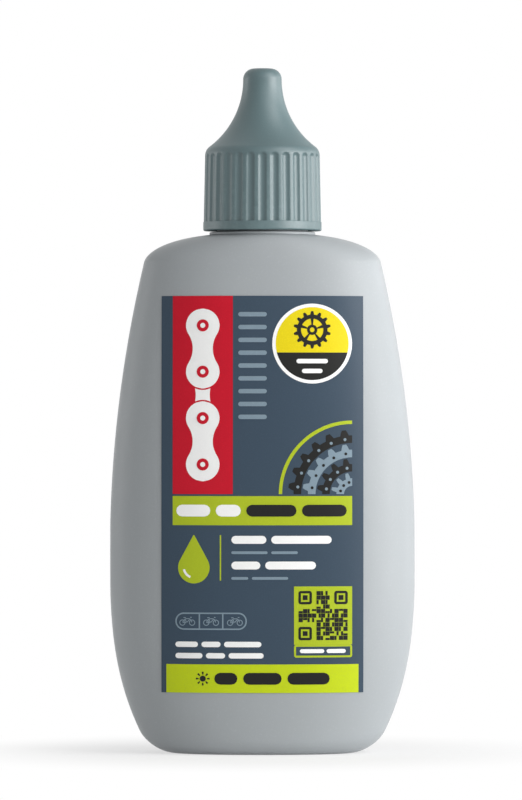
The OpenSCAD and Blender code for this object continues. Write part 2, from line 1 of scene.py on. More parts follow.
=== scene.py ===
# %% [markdown]
# A squeeze bottle for chain lubricant
#
# The solids of this bottle are already packed: they give the real size, the moving bodies and
# the plain shapes. Blender could dress those solids as they are, but their facets are coarse.
# So this lesson loads them as a fixed frame, draws each piece again as a finer mesh in the same
# place, and spends the rest of its time on the finishes, the light and the camera.

# %% Load the frame
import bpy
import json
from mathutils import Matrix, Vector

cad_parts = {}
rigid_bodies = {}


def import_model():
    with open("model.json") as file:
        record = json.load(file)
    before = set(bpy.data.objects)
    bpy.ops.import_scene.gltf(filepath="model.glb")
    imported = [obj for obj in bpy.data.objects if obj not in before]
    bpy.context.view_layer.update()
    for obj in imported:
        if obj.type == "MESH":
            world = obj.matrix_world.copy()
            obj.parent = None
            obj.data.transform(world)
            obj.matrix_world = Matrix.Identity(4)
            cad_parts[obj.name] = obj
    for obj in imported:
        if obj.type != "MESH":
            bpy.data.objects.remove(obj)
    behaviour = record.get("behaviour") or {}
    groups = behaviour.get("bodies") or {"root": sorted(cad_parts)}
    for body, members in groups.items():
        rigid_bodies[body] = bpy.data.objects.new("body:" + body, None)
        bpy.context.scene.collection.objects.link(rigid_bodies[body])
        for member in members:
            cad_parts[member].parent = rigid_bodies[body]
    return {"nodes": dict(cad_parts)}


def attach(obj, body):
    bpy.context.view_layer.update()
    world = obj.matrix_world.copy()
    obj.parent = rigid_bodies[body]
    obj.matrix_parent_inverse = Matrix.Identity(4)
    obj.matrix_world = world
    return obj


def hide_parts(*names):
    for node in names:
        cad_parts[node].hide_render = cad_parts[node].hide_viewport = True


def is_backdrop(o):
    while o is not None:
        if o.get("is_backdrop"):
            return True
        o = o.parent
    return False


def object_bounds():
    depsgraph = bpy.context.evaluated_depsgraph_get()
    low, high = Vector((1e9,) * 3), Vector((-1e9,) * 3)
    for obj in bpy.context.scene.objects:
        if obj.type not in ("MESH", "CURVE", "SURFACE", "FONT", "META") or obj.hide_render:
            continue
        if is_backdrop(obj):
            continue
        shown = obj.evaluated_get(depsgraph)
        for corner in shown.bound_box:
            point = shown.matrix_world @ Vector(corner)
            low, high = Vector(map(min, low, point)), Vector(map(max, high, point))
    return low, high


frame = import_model()
cad_low, cad_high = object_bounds()
print("solids:", ", ".join(sorted(frame["nodes"])))

# %% [markdown]
# Units and numbers
#
# A packaging drawing is in millimetres and Blender works in metres. Sizes are written here in
# millimetres, as the maker would write them, and a mesh is scaled once, when it is made. Two sizes
# that differ by less than a thousandth of a millimetre count as one.

# %% Libraries and units
import json
import math

import bpy
import numpy as np
from mathutils import Vector

MM = 0.001
HAIR = 0.001
ROUNDING_ERROR = 1e-9
box_low = np.array(cad_low) / MM
box_high = np.array(cad_high) / MM
print("box of the solids in mm:", box_low.round(2), box_high.round(2))

# %% [markdown]
# Turned and blown skins
#
# Every piece but the label and its print is a skin over rings. A modifier such as Screw could
# turn a profile, but ribs, threads and an oval body need each point to move by itself, so the
# rings are arrays of points, and one function sews neighbouring rings together. A skin that
# starts and ends on the axis is closed by two fans, and one that runs round a hole joins its
# last ring to its first.


# %% Sew rings into a skin
def sew(rings, loop=False):
    """Points and faces of a skin over rings, an array of rings by points by three."""
    count, around = rings.shape[:2]
    index = np.arange(count * around).reshape(count, around)
    below = index if loop else index[:-1]
    above = np.roll(index, -1, axis=0) if loop else index[1:]
    quads = np.stack([below, np.roll(below, -1, 1), np.roll(above, -1, 1), above], -1)
    points = rings.reshape(-1, 3)
    faces = quads.reshape(-1, 4).tolist()
    if not loop:
        tips = [rings[0].mean(axis=0), rings[-1].mean(axis=0)]
        points = np.vstack([points, tips])
        first, last = count * around, count * around + 1
        for i in range(around):
            j = (i + 1) % around
            faces.append([first, index[0, j], index[0, i]])
            faces.append([last, index[-1, i], index[-1, j]])
    return points, faces


# %% [markdown]
# Rounded profiles
#
# A moulded edge is never sharp, and its rounding is what catches the light. A Bevel modifier
# would guess which edges to round. Here the profile itself says it: each corner is a radius, a
# height and the rounding there, and the corner is swapped for a true arc.


# %% Profiles with rounded corners
def rounded(corners, steps=5):
    """A path through corners of (radius, height, rounding), each rounding as an arc."""
    places = [np.array(corner[:2], float) for corner in corners]
    path = [places[0]]
    for i in range(1, len(corners) - 1):
        rounding = corners[i][2]
        if rounding == 0:
            path.append(places[i])
            continue
        before = places[i - 1] - places[i]
        after = places[i + 1] - places[i]
        before = before / np.linalg.norm(before)
        after = after / np.linalg.norm(after)
        half = math.acos(np.clip(before @ after, -1, 1)) / 2
        middle = (before + after) / np.linalg.norm(before + after)
        centre = places[i] + middle * rounding / math.sin(half)
        start = places[i] + before * rounding / math.tan(half) - centre
        end = places[i] + after * rounding / math.tan(half) - centre
        for share in np.linspace(0, 1, steps + 1):
            spoke = start * (1 - share) + end * share
            path.append(centre + spoke / np.linalg.norm(spoke) * rounding)
    path.append(places[-1])
    return np.array(path)


def divided(path, longest):
    """The same path with its straight stretches cut into steps no longer than longest."""
    points = [path[0]]
    for start, end in zip(path[:-1], path[1:]):
        steps = max(1, math.ceil(np.linalg.norm(end - start) / longest - ROUNDING_ERROR))
        points += [start + (end - start) * k / steps for k in range(1, steps + 1)]
    return np.array(points)


def arc(centre, radius, start, end, steps):
    """Points on an arc between two angles in degrees."""
    turn = np.radians(np.linspace(start, end, steps + 1))
    return np.array(centre) + radius * np.stack([np.cos(turn), np.sin(turn)], -1)


def turned(path, angles, rise=0):
    """Rings of a path of (radius, height) turned about the upright axis, with a rise on them."""
    radius = path[:, 0, None] + rise
    height = path[:, 1, None] + np.zeros_like(angles)
    return np.stack([radius * np.cos(angles), radius * np.sin(angles), height], -1)


# %% [markdown]
# Finishes as expressions
#
# A finish is a small network of nodes. Placing nodes one by one hides the idea behind wiring, so
# a class wraps one output socket and lends it plain arithmetic: a mask times a number adds the
# Math node by itself. Any other node comes from one method, which takes the node's type, its
# settings and what goes into its sockets, by name or by number.


# %% Socket arithmetic
class Value:
    """One output socket of a node. Arithmetic on it adds Math nodes."""

    def __init__(self, network, socket):
        self.network = network
        self.socket = socket

    def __add__(self, other):
        return self.network.math("ADD", self, other)

    def __radd__(self, other):
        return self.network.math("ADD", other, self)

    def __sub__(self, other):
        return self.network.math("SUBTRACT", self, other)

    def __rsub__(self, other):
        return self.network.math("SUBTRACT", other, self)

    def __mul__(self, other):
        return self.network.math("MULTIPLY", self, other)

    def __rmul__(self, other):
        return self.network.math("MULTIPLY", other, self)

    def ramp(self, low, high):
        """0 below low and 1 above high, with a smooth step between them."""
        return self.network.node(
            "ShaderNodeMapRange",
            {"interpolation_type": "SMOOTHSTEP"},
            {"Value": self, "From Min": low, "From Max": high},
        )


# %% A finish and its one node method
def tone(red, green, blue):
    """A colour as a screen shows it, 0 to 255, turned into the linear light of a shader."""
    def linear(level):
        level = level / 255
        return level / 12.92 if level <= 0.04045 else ((level + 0.055) / 1.055) ** 2.4

    return (linear(red), linear(green), linear(blue), 1)


class Network:
    """A tree of nodes being wired."""

    def __init__(self, tree):
        self.tree = tree

    def put(self, socket, value):
        """Links a wrapped socket, or writes a plain number or colour."""
        if isinstance(value, Value):
            self.tree.links.new(value.socket, socket)
        else:
            socket.default_value = value

    def node(self, kind, settings=None, sockets=None, output=0):
        """Adds a node, sets it up, feeds its sockets and wraps one of its outputs."""
        made = self.tree.nodes.new(kind)
        for name, value in (settings or {}).items():
            setattr(made, name, value)
        for name, value in (sockets or {}).items():
            self.put(made.inputs[name], value)
        return Value(self, made.outputs[output])

    def math(self, operation, *values):
        """Adds a Math node that works on wrapped sockets and plain numbers."""
        return self.node("ShaderNodeMath", {"operation": operation}, dict(enumerate(values)))


class Finish(Network):
    """A material being made: its shader, its nodes and the place on the surface."""

    def __init__(self, name, **constants):
        self.material = bpy.data.materials.new(name)
        self.material.use_nodes = True
        super().__init__(self.material.node_tree)
        self.shader = self.tree.nodes["Principled BSDF"]
        for socket, value in constants.items():
            self.shader.inputs[socket.replace("_", " ")].default_value = value
        self.place = self.node("ShaderNodeTexCoord", output="Object")

    def shade(self, **values):
        """Feeds what varies over the surface into the shader."""
        for socket, value in values.items():
            self.put(self.shader.inputs[socket.replace("_", " ")], value)

    def stretched(self, stretch):
        """The place on the surface, scaled along each axis."""
        return self.node(
            "ShaderNodeVectorMath", {"operation": "MULTIPLY"}, {0: self.place, 1: stretch}
        )

    def reach(self, stretch):
        """How far the scaled place lies from the object's origin."""
        scaled = self.stretched(stretch)
        return self.node(
            "ShaderNodeVectorMath", {"operation": "LENGTH"}, {0: scaled}, output="Value"
        )

    def noise(self, size, detail=2, stretch=(1, 1, 1)):
        """A noise from 0 to 1 whose blots are about size millimetres across."""
        return self.node(
            "ShaderNodeTexNoise",
            {"noise_dimensions": "3D"},
            {"Vector": self.stretched(stretch), "Scale": 1 / (size * MM), "Detail": detail},
        )

    def blend(self, share, first, second):
        """A colour between two colours."""
        return self.node(
            "ShaderNodeMix", {"data_type": "RGBA"}, {0: share, 6: first, 7: second}, output=2
        )

    def bump(self, height, depth, strength, under=None):
        """A bump whose full height is depth millimetres."""
        sockets = {"Height": height, "Distance": depth * MM, "Strength": strength}
        if under is not None:
            sockets["Normal"] = under
        return self.node("ShaderNodeBump", None, sockets)


# %% [markdown]
# Blown polyethylene
#
# The body's plastic is soft grey polyethylene, blown against a blasted steel mould. Its gloss is
# broad and silky, the pigment leaves faint clouds in it, and the mould leaves a fine grain. A
# painted texture would show its seams in a close view, so clouds, specks and grain are noises in
# the object's own space. The gloss varies a little too, because hands have rubbed it.

# %% Plastic of the bottle
BOTTLE_GREY = tone(163, 168, 171)
BOTTLE_DARK = tone(155, 160, 163)
BOTTLE_PALE = tone(172, 177, 180)
CLOUD = 18
SPECK = 0.35
RUB = 7
WAVE = 9
WAVE_DEPTH = 0.05
GRAIN_DEPTH = 0.012


def moulded_plastic(name, dark, middle, pale, rough, grain, **constants):
    """A satin plastic with clouds of pigment, a fine grain and rubbed places."""
    finish = Finish(name, **constants)
    clouds = finish.noise(CLOUD, detail=3, stretch=(1, 1, 0.45))
    specks = finish.noise(SPECK, detail=1)
    rubbed = finish.noise(RUB, detail=4).ramp(0.52, 0.72)
    colour = finish.blend(clouds, dark, middle)
    colour = finish.blend(specks.ramp(0.55, 0.8) * 0.35, colour, pale)
    fine = finish.noise(grain)
    waves = finish.noise(WAVE, detail=1, stretch=(1, 1, 0.3))
    normal = finish.bump(waves, WAVE_DEPTH, strength=0.35)
    normal = finish.bump(fine, GRAIN_DEPTH, strength=0.5, under=normal)
    finish.shade(
        Base_Color=colour,
        Roughness=rough + 0.05 * clouds - 0.06 * rubbed,
        Normal=normal,
    )
    return finish


bottle_plastic = moulded_plastic(
    "bottle_plastic", BOTTLE_DARK, BOTTLE_GREY, BOTTLE_PALE, rough=0.46, grain=0.4, IOR=1.5
)
print("bottle plastic:", len(bottle_plastic.tree.nodes), "nodes")

# %% [markdown]
# Putting a piece on its body
#
# A piece is a mesh, a finish, the body that it moves with and the solid that it stands for. One
# function does this for all of them, and no point leaves the box of the solids. Faces are shaded
# smooth, and an edge stays crisp only where it turns more sharply than any rounding does.


# %% Make a piece
CRISP = math.radians(38)


def add_object(name, data):
    """Puts a mesh, a lamp or a camera into the scene."""
    made = bpy.data.objects.new(name, data)
    bpy.context.scene.collection.objects.link(made)
    return made


def piece(name, points, faces, finish, body, stands_for):
    """Makes a mesh from points in millimetres and puts it in the frame."""
    points = np.clip(points, box_low, box_high)
    mesh = bpy.data.meshes.new(name)
    mesh.from_pydata((points * MM).tolist(), [], faces)
    mesh.shade_smooth()
    mesh.set_sharp_from_angle(angle=CRISP)
    mesh.materials.append(finish.material)
    made = add_object(name, mesh)
    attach(made, body)
    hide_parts(stands_for)
    triangles = sum(len(face) - 2 for face in faces)
    print(f"{name}: {triangles} triangles")


# %% [markdown]
# The blown body
#
# The body is an oval that swells to a belly low down, draws in to a rounded foot, and closes
# over flat shoulders to a round neck. Sculpting it would lose the clean reflections of a blown
# wall. It is a stack of superellipses instead: half width and half depth follow smooth curves of
# the height, and the section's exponent goes from squarish in the body to round at the neck.

# %% Sizes of the body
BODY_H = 106
BELLY_Z = 41
BELLY = (31.2, 15.6)
SHOULDER = (24.2, 12.9)
SHOULDER_H = 5.6
FOOT = (22.7, 13.3)
FOOT_CURVE = 2.87
FOOT_ROUND = (4.5, 3)
SQUARENESS = 2.3
WALL = 1.1
DOME_REACH = 9.2
DOME_FALL = 0.85
CORNER_H = 2
STAND_W = 2.2
PUSH_H = 1.2
PUSH_SLOPE = 2.5
SLOPE_END = STAND_W + PUSH_SLOPE
COLLAR_R = 10.85
COLLAR_H = 0.5
COLLAR_GAP = 0.2
ROOT_INSET = 0.25
ROOT_R = COLLAR_R - ROOT_INSET
SHOULDER_Z = BODY_H - SHOULDER_H


# %% Curves of the wall
def wall_half(z, side):
    """Half width (side 0) or half depth (side 1) of the wall at height z."""
    z = np.asarray(z, float)
    above = np.clip((z - BELLY_Z) / (SHOULDER_Z - BELLY_Z), 0, None)
    below = np.clip((BELLY_Z - z) / BELLY_Z, 0, None)
    upper = (BELLY[side] - SHOULDER[side]) * above ** 2
    lower = (BELLY[side] - FOOT[side]) * below ** FOOT_CURVE
    return BELLY[side] - upper - lower


widest, deepest = (2 * wall_half(BELLY_Z, side) for side in (0, 1))
print(f"belly {widest:.1f} mm wide and {deepest:.1f} mm deep, {BELLY_Z} mm up")


def pulled_in(height, rounding):
    """How far a quarter-round edge has drawn the wall in at a height above its start."""
    reach = np.clip(rounding - height, 0, rounding)
    return rounding - np.sqrt(rounding ** 2 - reach ** 2)


def foot_rings(z, inset):
    """Rings of (height, half width, half depth, squareness) where the foot rounds the wall."""
    halves = [
        wall_half(z, side) - inset - pulled_in(z - inset, FOOT_ROUND[side] - inset)
        for side in (0, 1)
    ]
    return np.stack([z, halves[0], halves[1], np.full_like(z, SQUARENESS)], -1)


# %% Curve of the shoulder
LEAN = -2 * (BELLY[0] - SHOULDER[0]) / (SHOULDER_Z - BELLY_Z)
DOME = np.array([
    [SHOULDER[0], SHOULDER_Z],
    [SHOULDER[0] + LEAN * CORNER_H, SHOULDER_Z + CORNER_H],
    [ROOT_R + DOME_REACH, BODY_H - DOME_FALL],
    [ROOT_R, BODY_H],
])


def dome_rings(t, inset):
    """Rings over the shoulder, from the wall (t = 0) to the neck's root (t = 1)."""
    share = t[:, None]
    weights = np.hstack([
        (1 - share) ** 3,
        3 * share * (1 - share) ** 2,
        3 * share ** 2 * (1 - share),
        share ** 3,
    ])
    line = weights @ DOME
    slope = np.gradient(line, axis=0)
    normal = np.stack([slope[:, 1], -slope[:, 0]], -1)
    normal = normal / np.linalg.norm(normal, axis=1)[:, None]
    line = line - inset * normal
    rise = np.clip((line[:, 1] - SHOULDER_Z) / SHOULDER_H, 0, 1)
    depth = ROOT_R + (wall_half(line[:, 1], 1) - ROOT_R) * np.sqrt(1 - rise ** 2) - inset
    squareness = SQUARENESS + (2 - SQUARENESS) * t
    return np.stack([line[:, 1], line[:, 0], depth, squareness], -1)


print(f"shoulder from {SHOULDER_Z:.1f} to {BODY_H} mm, leaning in {-LEAN:.2f} mm a millimetre")


# %% [markdown]
# The neck and its thread
#
# The cap screws onto a coarse right-hand thread. Modelling a thread as a swept solid and joining
# it on leaves a seam of thin faces. On a skin of rings it is simpler: a ridge is a rise of the
# radius that depends on how far a point lies from the helix, and it fades out at both ends.

# %% Sizes of the neck
NECK_R = 9.3
BORE_R = 7.9
NECK_H = 12.6
NECK_TOP = BODY_H + NECK_H
NECK_FILLET = 0.3
ROOT_SINK = 0.03
LEAD = 3.173
RIDGE_H = 0.9
RIDGE_W = 1.3
RIDGE_TOP_W = 0.6
RIDGE_FADE = 0.08
NECK_THREAD_Z = 109.6
THREAD_TURNS = 2.2
THREAD_STEP = 0.2
print(f"neck up to {NECK_TOP:.1f} mm, with {THREAD_TURNS} turns of thread")


def ridge(angles, z, start):
    """How far a thread's ridge stands out at each angle and height."""
    turn = (angles % (2 * math.pi)) / (2 * math.pi)
    number = np.round((z - start) / LEAD - turn)
    along = turn + number
    off = np.abs(z - start - LEAD * along)
    flank = np.clip((RIDGE_W / 2 - off) / (RIDGE_W - RIDGE_TOP_W) * 2, 0, 1)
    to_end = np.minimum(along, THREAD_TURNS - along)
    smooth = flank ** 2 * (3 - 2 * flank)
    return RIDGE_H * smooth * np.clip(to_end / RIDGE_FADE, 0, 1)


# %% [markdown]
# Parting line and pinch
#
# Two mould halves meet in the plane of the oval's long side. They leave a hair of plastic down
# both edges of the body, and under the base the tube is pinched shut along the same plane. Both
# are low beads in the mesh, on a few extra columns of points that crowd round that plane.

# %% Columns of points round the oval
EVEN_STEP = 2
CROWD = (0.22, 0.52, 0.9, 1.4)
BEAD_H = 0.06
BEAD_HALF_W = 0.32
PINCH_H = 0.35
PINCH_HALF_W = 0.7
PINCH_FADE = 2

around = set(range(0, 360, EVEN_STEP))
for side in (0, 180):
    around |= {(side + sign * step) % 360 for step in CROWD for sign in (1, -1)}
columns = np.radians(np.array(sorted(around), float))
print("columns of points round the body:", len(columns))


def signed_power(value, power):
    """A power that keeps the sign."""
    return np.sign(value) * np.abs(value) ** power


def ovals(rings):
    """Points on each ring of (height, half width, half depth, squareness)."""
    z, wide, deep, square = (rings[:, i, None] for i in range(4))
    x = wide * signed_power(np.cos(columns), 2 / square)
    y = deep * signed_power(np.sin(columns), 2 / square)
    return np.stack([x, y, np.broadcast_to(z, x.shape)], -1)


# %% Outside of the body, from the middle of the base to the neck's root
CORE = 0.08
FLOOR_RINGS = 12
SLOPE_RINGS = 8
FOOT_RINGS = 16
WALL_RINGS = 65
DOME_RINGS = 40


def body_outside():
    """Rings of points up the outside, with the parting line and the pinch."""
    edge = foot_rings(np.array([0.0]), 0)[0]
    floor = [
        [PUSH_H, (edge[1] - SLOPE_END) * s, (edge[2] - SLOPE_END) * s, SQUARENESS]
        for s in np.linspace(CORE, 1, FLOOR_RINGS)
    ]
    for s in np.linspace(0, 1, SLOPE_RINGS + 1)[1:]:
        fall = PUSH_H * (1 - s * s * (3 - 2 * s))
        inward = STAND_W + PUSH_SLOPE * (1 - s)
        floor.append([fall, edge[1] - inward, edge[2] - inward, SQUARENESS])
    base = ovals(np.array(floor))
    pinch = np.clip(1 - (base[..., 1] / PINCH_HALF_W) ** 2, 0, 1) ** 2
    ends = np.clip((edge[1] - STAND_W - np.abs(base[..., 0])) / PINCH_FADE, 0, 1)
    base[..., 2] -= PINCH_H * pinch * ends * (base[..., 2] > PINCH_H)
    turn = np.linspace(0, math.pi / 2, FOOT_RINGS + 1)[:-1]
    foot = foot_rings(FOOT_ROUND[0] * (1 - np.cos(turn)), 0)
    wall = foot_rings(np.linspace(FOOT_ROUND[0], SHOULDER_Z, WALL_RINGS + 1)[:-1], 0)
    dome = dome_rings(np.linspace(0, 1, DOME_RINGS + 1), 0)
    dome = dome[dome[:, 1] > COLLAR_R + COLLAR_GAP]
    side = ovals(np.vstack([foot, wall, dome]))
    bead = BEAD_H * np.clip(1 - (side[..., 1] / BEAD_HALF_W) ** 2, 0, 1) ** 2
    side[..., 0] += np.sign(side[..., 0]) * bead
    return np.concatenate([base, side])


# %% Neck, rim and bore
def neck_rings():
    """Rings of points over the collar, up the threaded neck and down the bore."""
    root_z = BODY_H - ROOT_SINK
    collar_top = BODY_H + COLLAR_H
    path = rounded([
        (COLLAR_R + COLLAR_GAP, root_z, 0),
        (COLLAR_R, root_z, 0.1),
        (COLLAR_R, collar_top, 0.15),
        (NECK_R, collar_top, NECK_FILLET),
        (NECK_R, NECK_TOP, 0.4),
        (BORE_R, NECK_TOP, 0.3),
        (BORE_R, BODY_H - WALL, 0),
    ])
    path = divided(path, THREAD_STEP * 2)
    outer = (path[:, 0] > NECK_R - HAIR) & (path[:, 1] > collar_top + NECK_FILLET)
    low, high = np.flatnonzero(outer)[[0, -1]]
    path = np.vstack([
        path[:low], divided(path[low:high + 1], THREAD_STEP), path[high + 1:]
    ])
    on_neck = np.abs(path[:, 0, None] - NECK_R) < HAIR
    return turned(path, columns, ridge(columns, path[:, 1, None], NECK_THREAD_Z) * on_neck)


# %% Inside of the body, from under the neck to the floor of the hollow
INSIDE_CORE = 0.25
INSIDE_DOME_RINGS = 12
INSIDE_WALL_RINGS = 24
INSIDE_FOOT_RINGS = 8


def body_inside():
    """Rings of points down the inside, one wall's thickness in."""
    dome = dome_rings(np.linspace(0, 1, INSIDE_DOME_RINGS + 1), WALL)[::-1]
    wall = foot_rings(np.linspace(SHOULDER_Z, FOOT_ROUND[0], INSIDE_WALL_RINGS + 1)[1:], WALL)
    turn = np.linspace(math.pi / 2, 0, INSIDE_FOOT_RINGS + 1)[1:]
    foot = foot_rings(WALL + (FOOT_ROUND[0] - WALL) * (1 - np.cos(turn)), WALL)
    wide, deep = foot[-1, 1:3] - SLOPE_END
    floor = np.array([
        [WALL, wide + PUSH_SLOPE, deep + PUSH_SLOPE, SQUARENESS],
        [PUSH_H + WALL, wide, deep, SQUARENESS],
        [PUSH_H + WALL, wide * INSIDE_CORE, deep * INSIDE_CORE, SQUARENESS],
    ])
    return ovals(np.vstack([dome, wall, foot, floor]))


bottle_rings = np.concatenate([body_outside(), neck_rings(), body_inside()])
points, faces = sew(bottle_rings)
piece("bottle_shell", points, faces, bottle_plastic, "bottle", "bottle")
print("rings of the body:", len(bottle_rings))

# %% [markdown]
# The dropper
#
# A soft milky plug is pressed into the neck. It carries the nozzle that lets one drop out at a
# time. It shows only when the cap is off, so a turned profile with rounded edges is enough. The
# profile runs round the plastic, and it starts and ends on the plug's inner wall. The plastic
# lets light in a little way, which a shader does better than glass: it scatters.

# %% Dropper profile
AROUND = 96
SMOOTH = np.radians(np.arange(AROUND) * 360 / AROUND)
PLUG_BITE = 0.05
PLUG_R = BORE_R + PLUG_BITE
PLUG_WALL = 1.1
PLUG_H = 8
PLUG_TAPER_H = 1
PLUG_TAPER = 0.1
FLANGE_INSET = 0.1
FLANGE_R = NECK_R - FLANGE_INSET
FLANGE_T = 1
FLANGE_TOP = NECK_TOP + FLANGE_T
NOZZLE_H = 15.4
NOZZLE_TOP = FLANGE_TOP + NOZZLE_H
NOZZLE_FOOT_R = 5.1
NOZZLE_TIP_R = 2.05
THROAT_R = 3.5
FUNNEL_R = 1.15
DRIP_R = 0.6
DRIP_H = 3
SEAM_DROP = 3
SEAM_GAP = 0.5
inner_r = PLUG_R - PLUG_WALL
plug_low = NECK_TOP - PLUG_H
drip_low = NOZZLE_TOP - DRIP_H
seam_z = NECK_TOP - SEAM_DROP

milky_plastic = moulded_plastic(
    "dropper_plastic", tone(206, 206, 199), tone(217, 217, 211), tone(226, 226, 221),
    rough=0.34, grain=0.5, IOR=1.5, Subsurface_Weight=0.35, Subsurface_Scale=0.002,
)
nozzle_path = rounded([
    (inner_r, seam_z, 0),
    (inner_r, plug_low, 0.2),
    (PLUG_R - PLUG_TAPER, plug_low, 0.3),
    (PLUG_R, plug_low + PLUG_TAPER_H, 0),
    (PLUG_R, NECK_TOP, 0),
    (FLANGE_R, NECK_TOP, 0.1),
    (FLANGE_R, FLANGE_TOP, 0.2),
    (NOZZLE_FOOT_R, FLANGE_TOP, 0.8),
    (NOZZLE_TIP_R, NOZZLE_TOP, 0.5),
    (DRIP_R, NOZZLE_TOP, 0.2),
    (DRIP_R, drip_low, 0),
    (FUNNEL_R, drip_low - FUNNEL_R, 0),
    (THROAT_R, NECK_TOP, 0.3),
    (inner_r, NECK_TOP, 0.3),
    (inner_r, seam_z + SEAM_GAP, 0),
])
points, faces = sew(turned(nozzle_path, SMOOTH), loop=True)
piece(
    "dropper_nozzle", points, faces, milky_plastic, "bottle", "dropper_insert"
)

# %% [markdown]
# The foam washer
#
# A thin ring of closed foam seals the cap on the dropper's flange. Its cells are what one sees
# when the cap is lifted. They are bump, because at a quarter of a millimetre they are too small
# for geometry, and a cell pattern suits them better than a cloud. The ring is a turned profile
# too, and its ends meet on the wall of its hole.

# %% Washer
WASHER_R = 10.1
WASHER_HOLE_R = 6
WASHER_T = 1
SEAT_Z = FLANGE_TOP + WASHER_T
FOAM_CELL = 0.25
FOAM_DEPTH = 0.04
MOTTLE = 2.5

foam = Finish("washer_foam", IOR=1.45)
cells = foam.node(
    "ShaderNodeTexVoronoi", None, {"Vector": foam.place, "Scale": 1 / (FOAM_CELL * MM)}
)
mottle = foam.noise(MOTTLE, detail=3)
foam.shade(
    Base_Color=foam.blend(mottle, tone(214, 214, 208), tone(232, 231, 226)),
    Roughness=0.75 + 0.15 * cells,
    Normal=foam.bump(cells, FOAM_DEPTH, strength=0.6),
)
washer_path = rounded([
    (WASHER_HOLE_R, FLANGE_TOP + WASHER_T * 0.5, 0),
    (WASHER_HOLE_R, FLANGE_TOP, 0.1),
    (WASHER_R, FLANGE_TOP, 0.15),
    (WASHER_R, SEAT_Z, 0.15),
    (WASHER_HOLE_R, SEAT_Z, 0.1),
    (WASHER_HOLE_R, FLANGE_TOP + WASHER_T * 0.6, 0),
])
points, faces = sew(turned(washer_path, SMOOTH), loop=True)
piece("foam_ring", points, faces, foam, "washer", "cap_washer")

# %% [markdown]
# The cap
#
# The cap is one tall moulding: a skirt with thirty grooves that leave narrow ribs between them,
# a plain band at the rim, a bell that draws in along one hollow arc, and a slim nose. A Boolean
# would cut the grooves, at the price of ragged faces. The rings do it exactly: at each height
# and angle the radius is the smaller of the skirt's and the round cutter's, with a soft blend
# between the two that rounds the ribs' edges. Each groove and its rib share twelve columns of
# points, which crowd at those edges.

# %% Sizes of the cap
RIM_GAP = 0.3
RIM_Z = BODY_H + COLLAR_H + RIM_GAP
CAP_H = 33.3
CAP_TOP = RIM_Z + CAP_H
BAND_R = 12.13
PLAIN_H = 1.85
BAND_TOP = RIM_Z + PLAIN_H
SPLIT_Z = RIM_Z + 0.8
SKIRT_R = 12.02
SKIRT_TOP_R = 11.74
SHOULDER_ROUND = 2.2
FLARE_R = 17.3
NOSE_R = 3.95
TIP_ROUND = 2.2
CAP_BORE_R = 10.45
CAP_WALL = 1.5
TIP_WALL = 2
LEDGE_R = 8.2
GROOVES = 30
GROOVE_R = 1.1
GROOVE_DEPTH = 0.4
RIB_ROUND = 0.14
PIN_GAP = 0.1
PIN_R = DRIP_R - PIN_GAP
PIN_REACH = 1.5
PIN_LOW = NOZZLE_TOP - PIN_REACH
PIN_CORE = 0.2
GATE = ((1.1, 0), (0.9, 0.03), (0.7, 0.14), (0.3, 0.16))
CAP_THREAD_STEP = 0.24

nose_z = CAP_TOP - TIP_ROUND
flare_x = NOSE_R + FLARE_R
shoulder_x = SKIRT_TOP_R - SHOULDER_ROUND
shoulder_rise = math.sqrt((FLARE_R + SHOULDER_ROUND) ** 2 - (flare_x - shoulder_x) ** 2)
shoulder_z = nose_z - shoulder_rise
flare_angle = math.degrees(math.atan2(shoulder_rise, flare_x - shoulder_x))
print(f"cap shoulder at {shoulder_z:.2f} mm, bell starts {flare_angle:.1f} degrees up")

# %% Grooves of the skirt
GROOVE_LEAN = (SKIRT_R - SKIRT_TOP_R) / (shoulder_z - BAND_TOP)
GROOVE_END = shoulder_z - GROOVE_R / 2
RIB_PITCH = 360 / GROOVES
SKIRT_RINGS = 6
rib_columns = (0, 1.4, 2.7, 3.5, 4.1, 4.8, 6, 7.2, 7.9, 8.5, 9.3, 10.6)
cap_angles = np.radians(np.array([
    RIB_PITCH * (i + 0.5) + step for i in range(GROOVES) for step in rib_columns
]))


def grooved(radius, z):
    """The skirt's radius at every angle of the cap, with the grooves cut in."""
    turn = np.degrees(cap_angles) / RIB_PITCH % 1 - 0.5
    turn = np.radians(turn * RIB_PITCH)[None, :]
    centre = SKIRT_R + GROOVE_R - GROOVE_DEPTH - (z - BAND_TOP) * GROOVE_LEAN
    cutter = np.sqrt(np.clip(GROOVE_R ** 2 - np.clip(z - GROOVE_END, 0, None) ** 2, 0, None))
    off, ahead = centre * np.sin(turn), centre * np.cos(turn)
    reach = cutter ** 2 - off ** 2
    inside = ahead - np.sqrt(np.clip(reach, 0, None))
    cut = np.where(reach > 0, inside, ahead + np.abs(off) - cutter)
    near = np.clip(RIB_ROUND - np.abs(radius - cut), 0, None) / RIB_ROUND
    return np.minimum(radius, cut) - near ** 2 * RIB_ROUND / 4


# %% Inside of the cap
def cap_inside():
    """Path up the sealing pin, over the nose and down the bell to the ledge."""
    inner = FLARE_R + CAP_WALL
    roof_z = CAP_TOP - TIP_WALL
    bell = math.degrees(math.asin((nose_z - SEAT_Z) / inner))
    ledge = math.degrees(math.acos((flare_x - LEDGE_R) / inner))
    low = min(bell, ledge)
    curve = arc((flare_x, nose_z), inner, 180, 180 + low, steps=18)
    start = rounded([
        (PIN_R * PIN_CORE, PIN_LOW, 0),
        (PIN_R, PIN_LOW, 0.15),
        (PIN_R, roof_z, 0.25),
        (flare_x - inner, roof_z, 0.2),
        (flare_x - inner, nose_z, 0),
    ])
    return np.vstack([start, curve[1:], [[LEDGE_R, SEAT_Z]]])


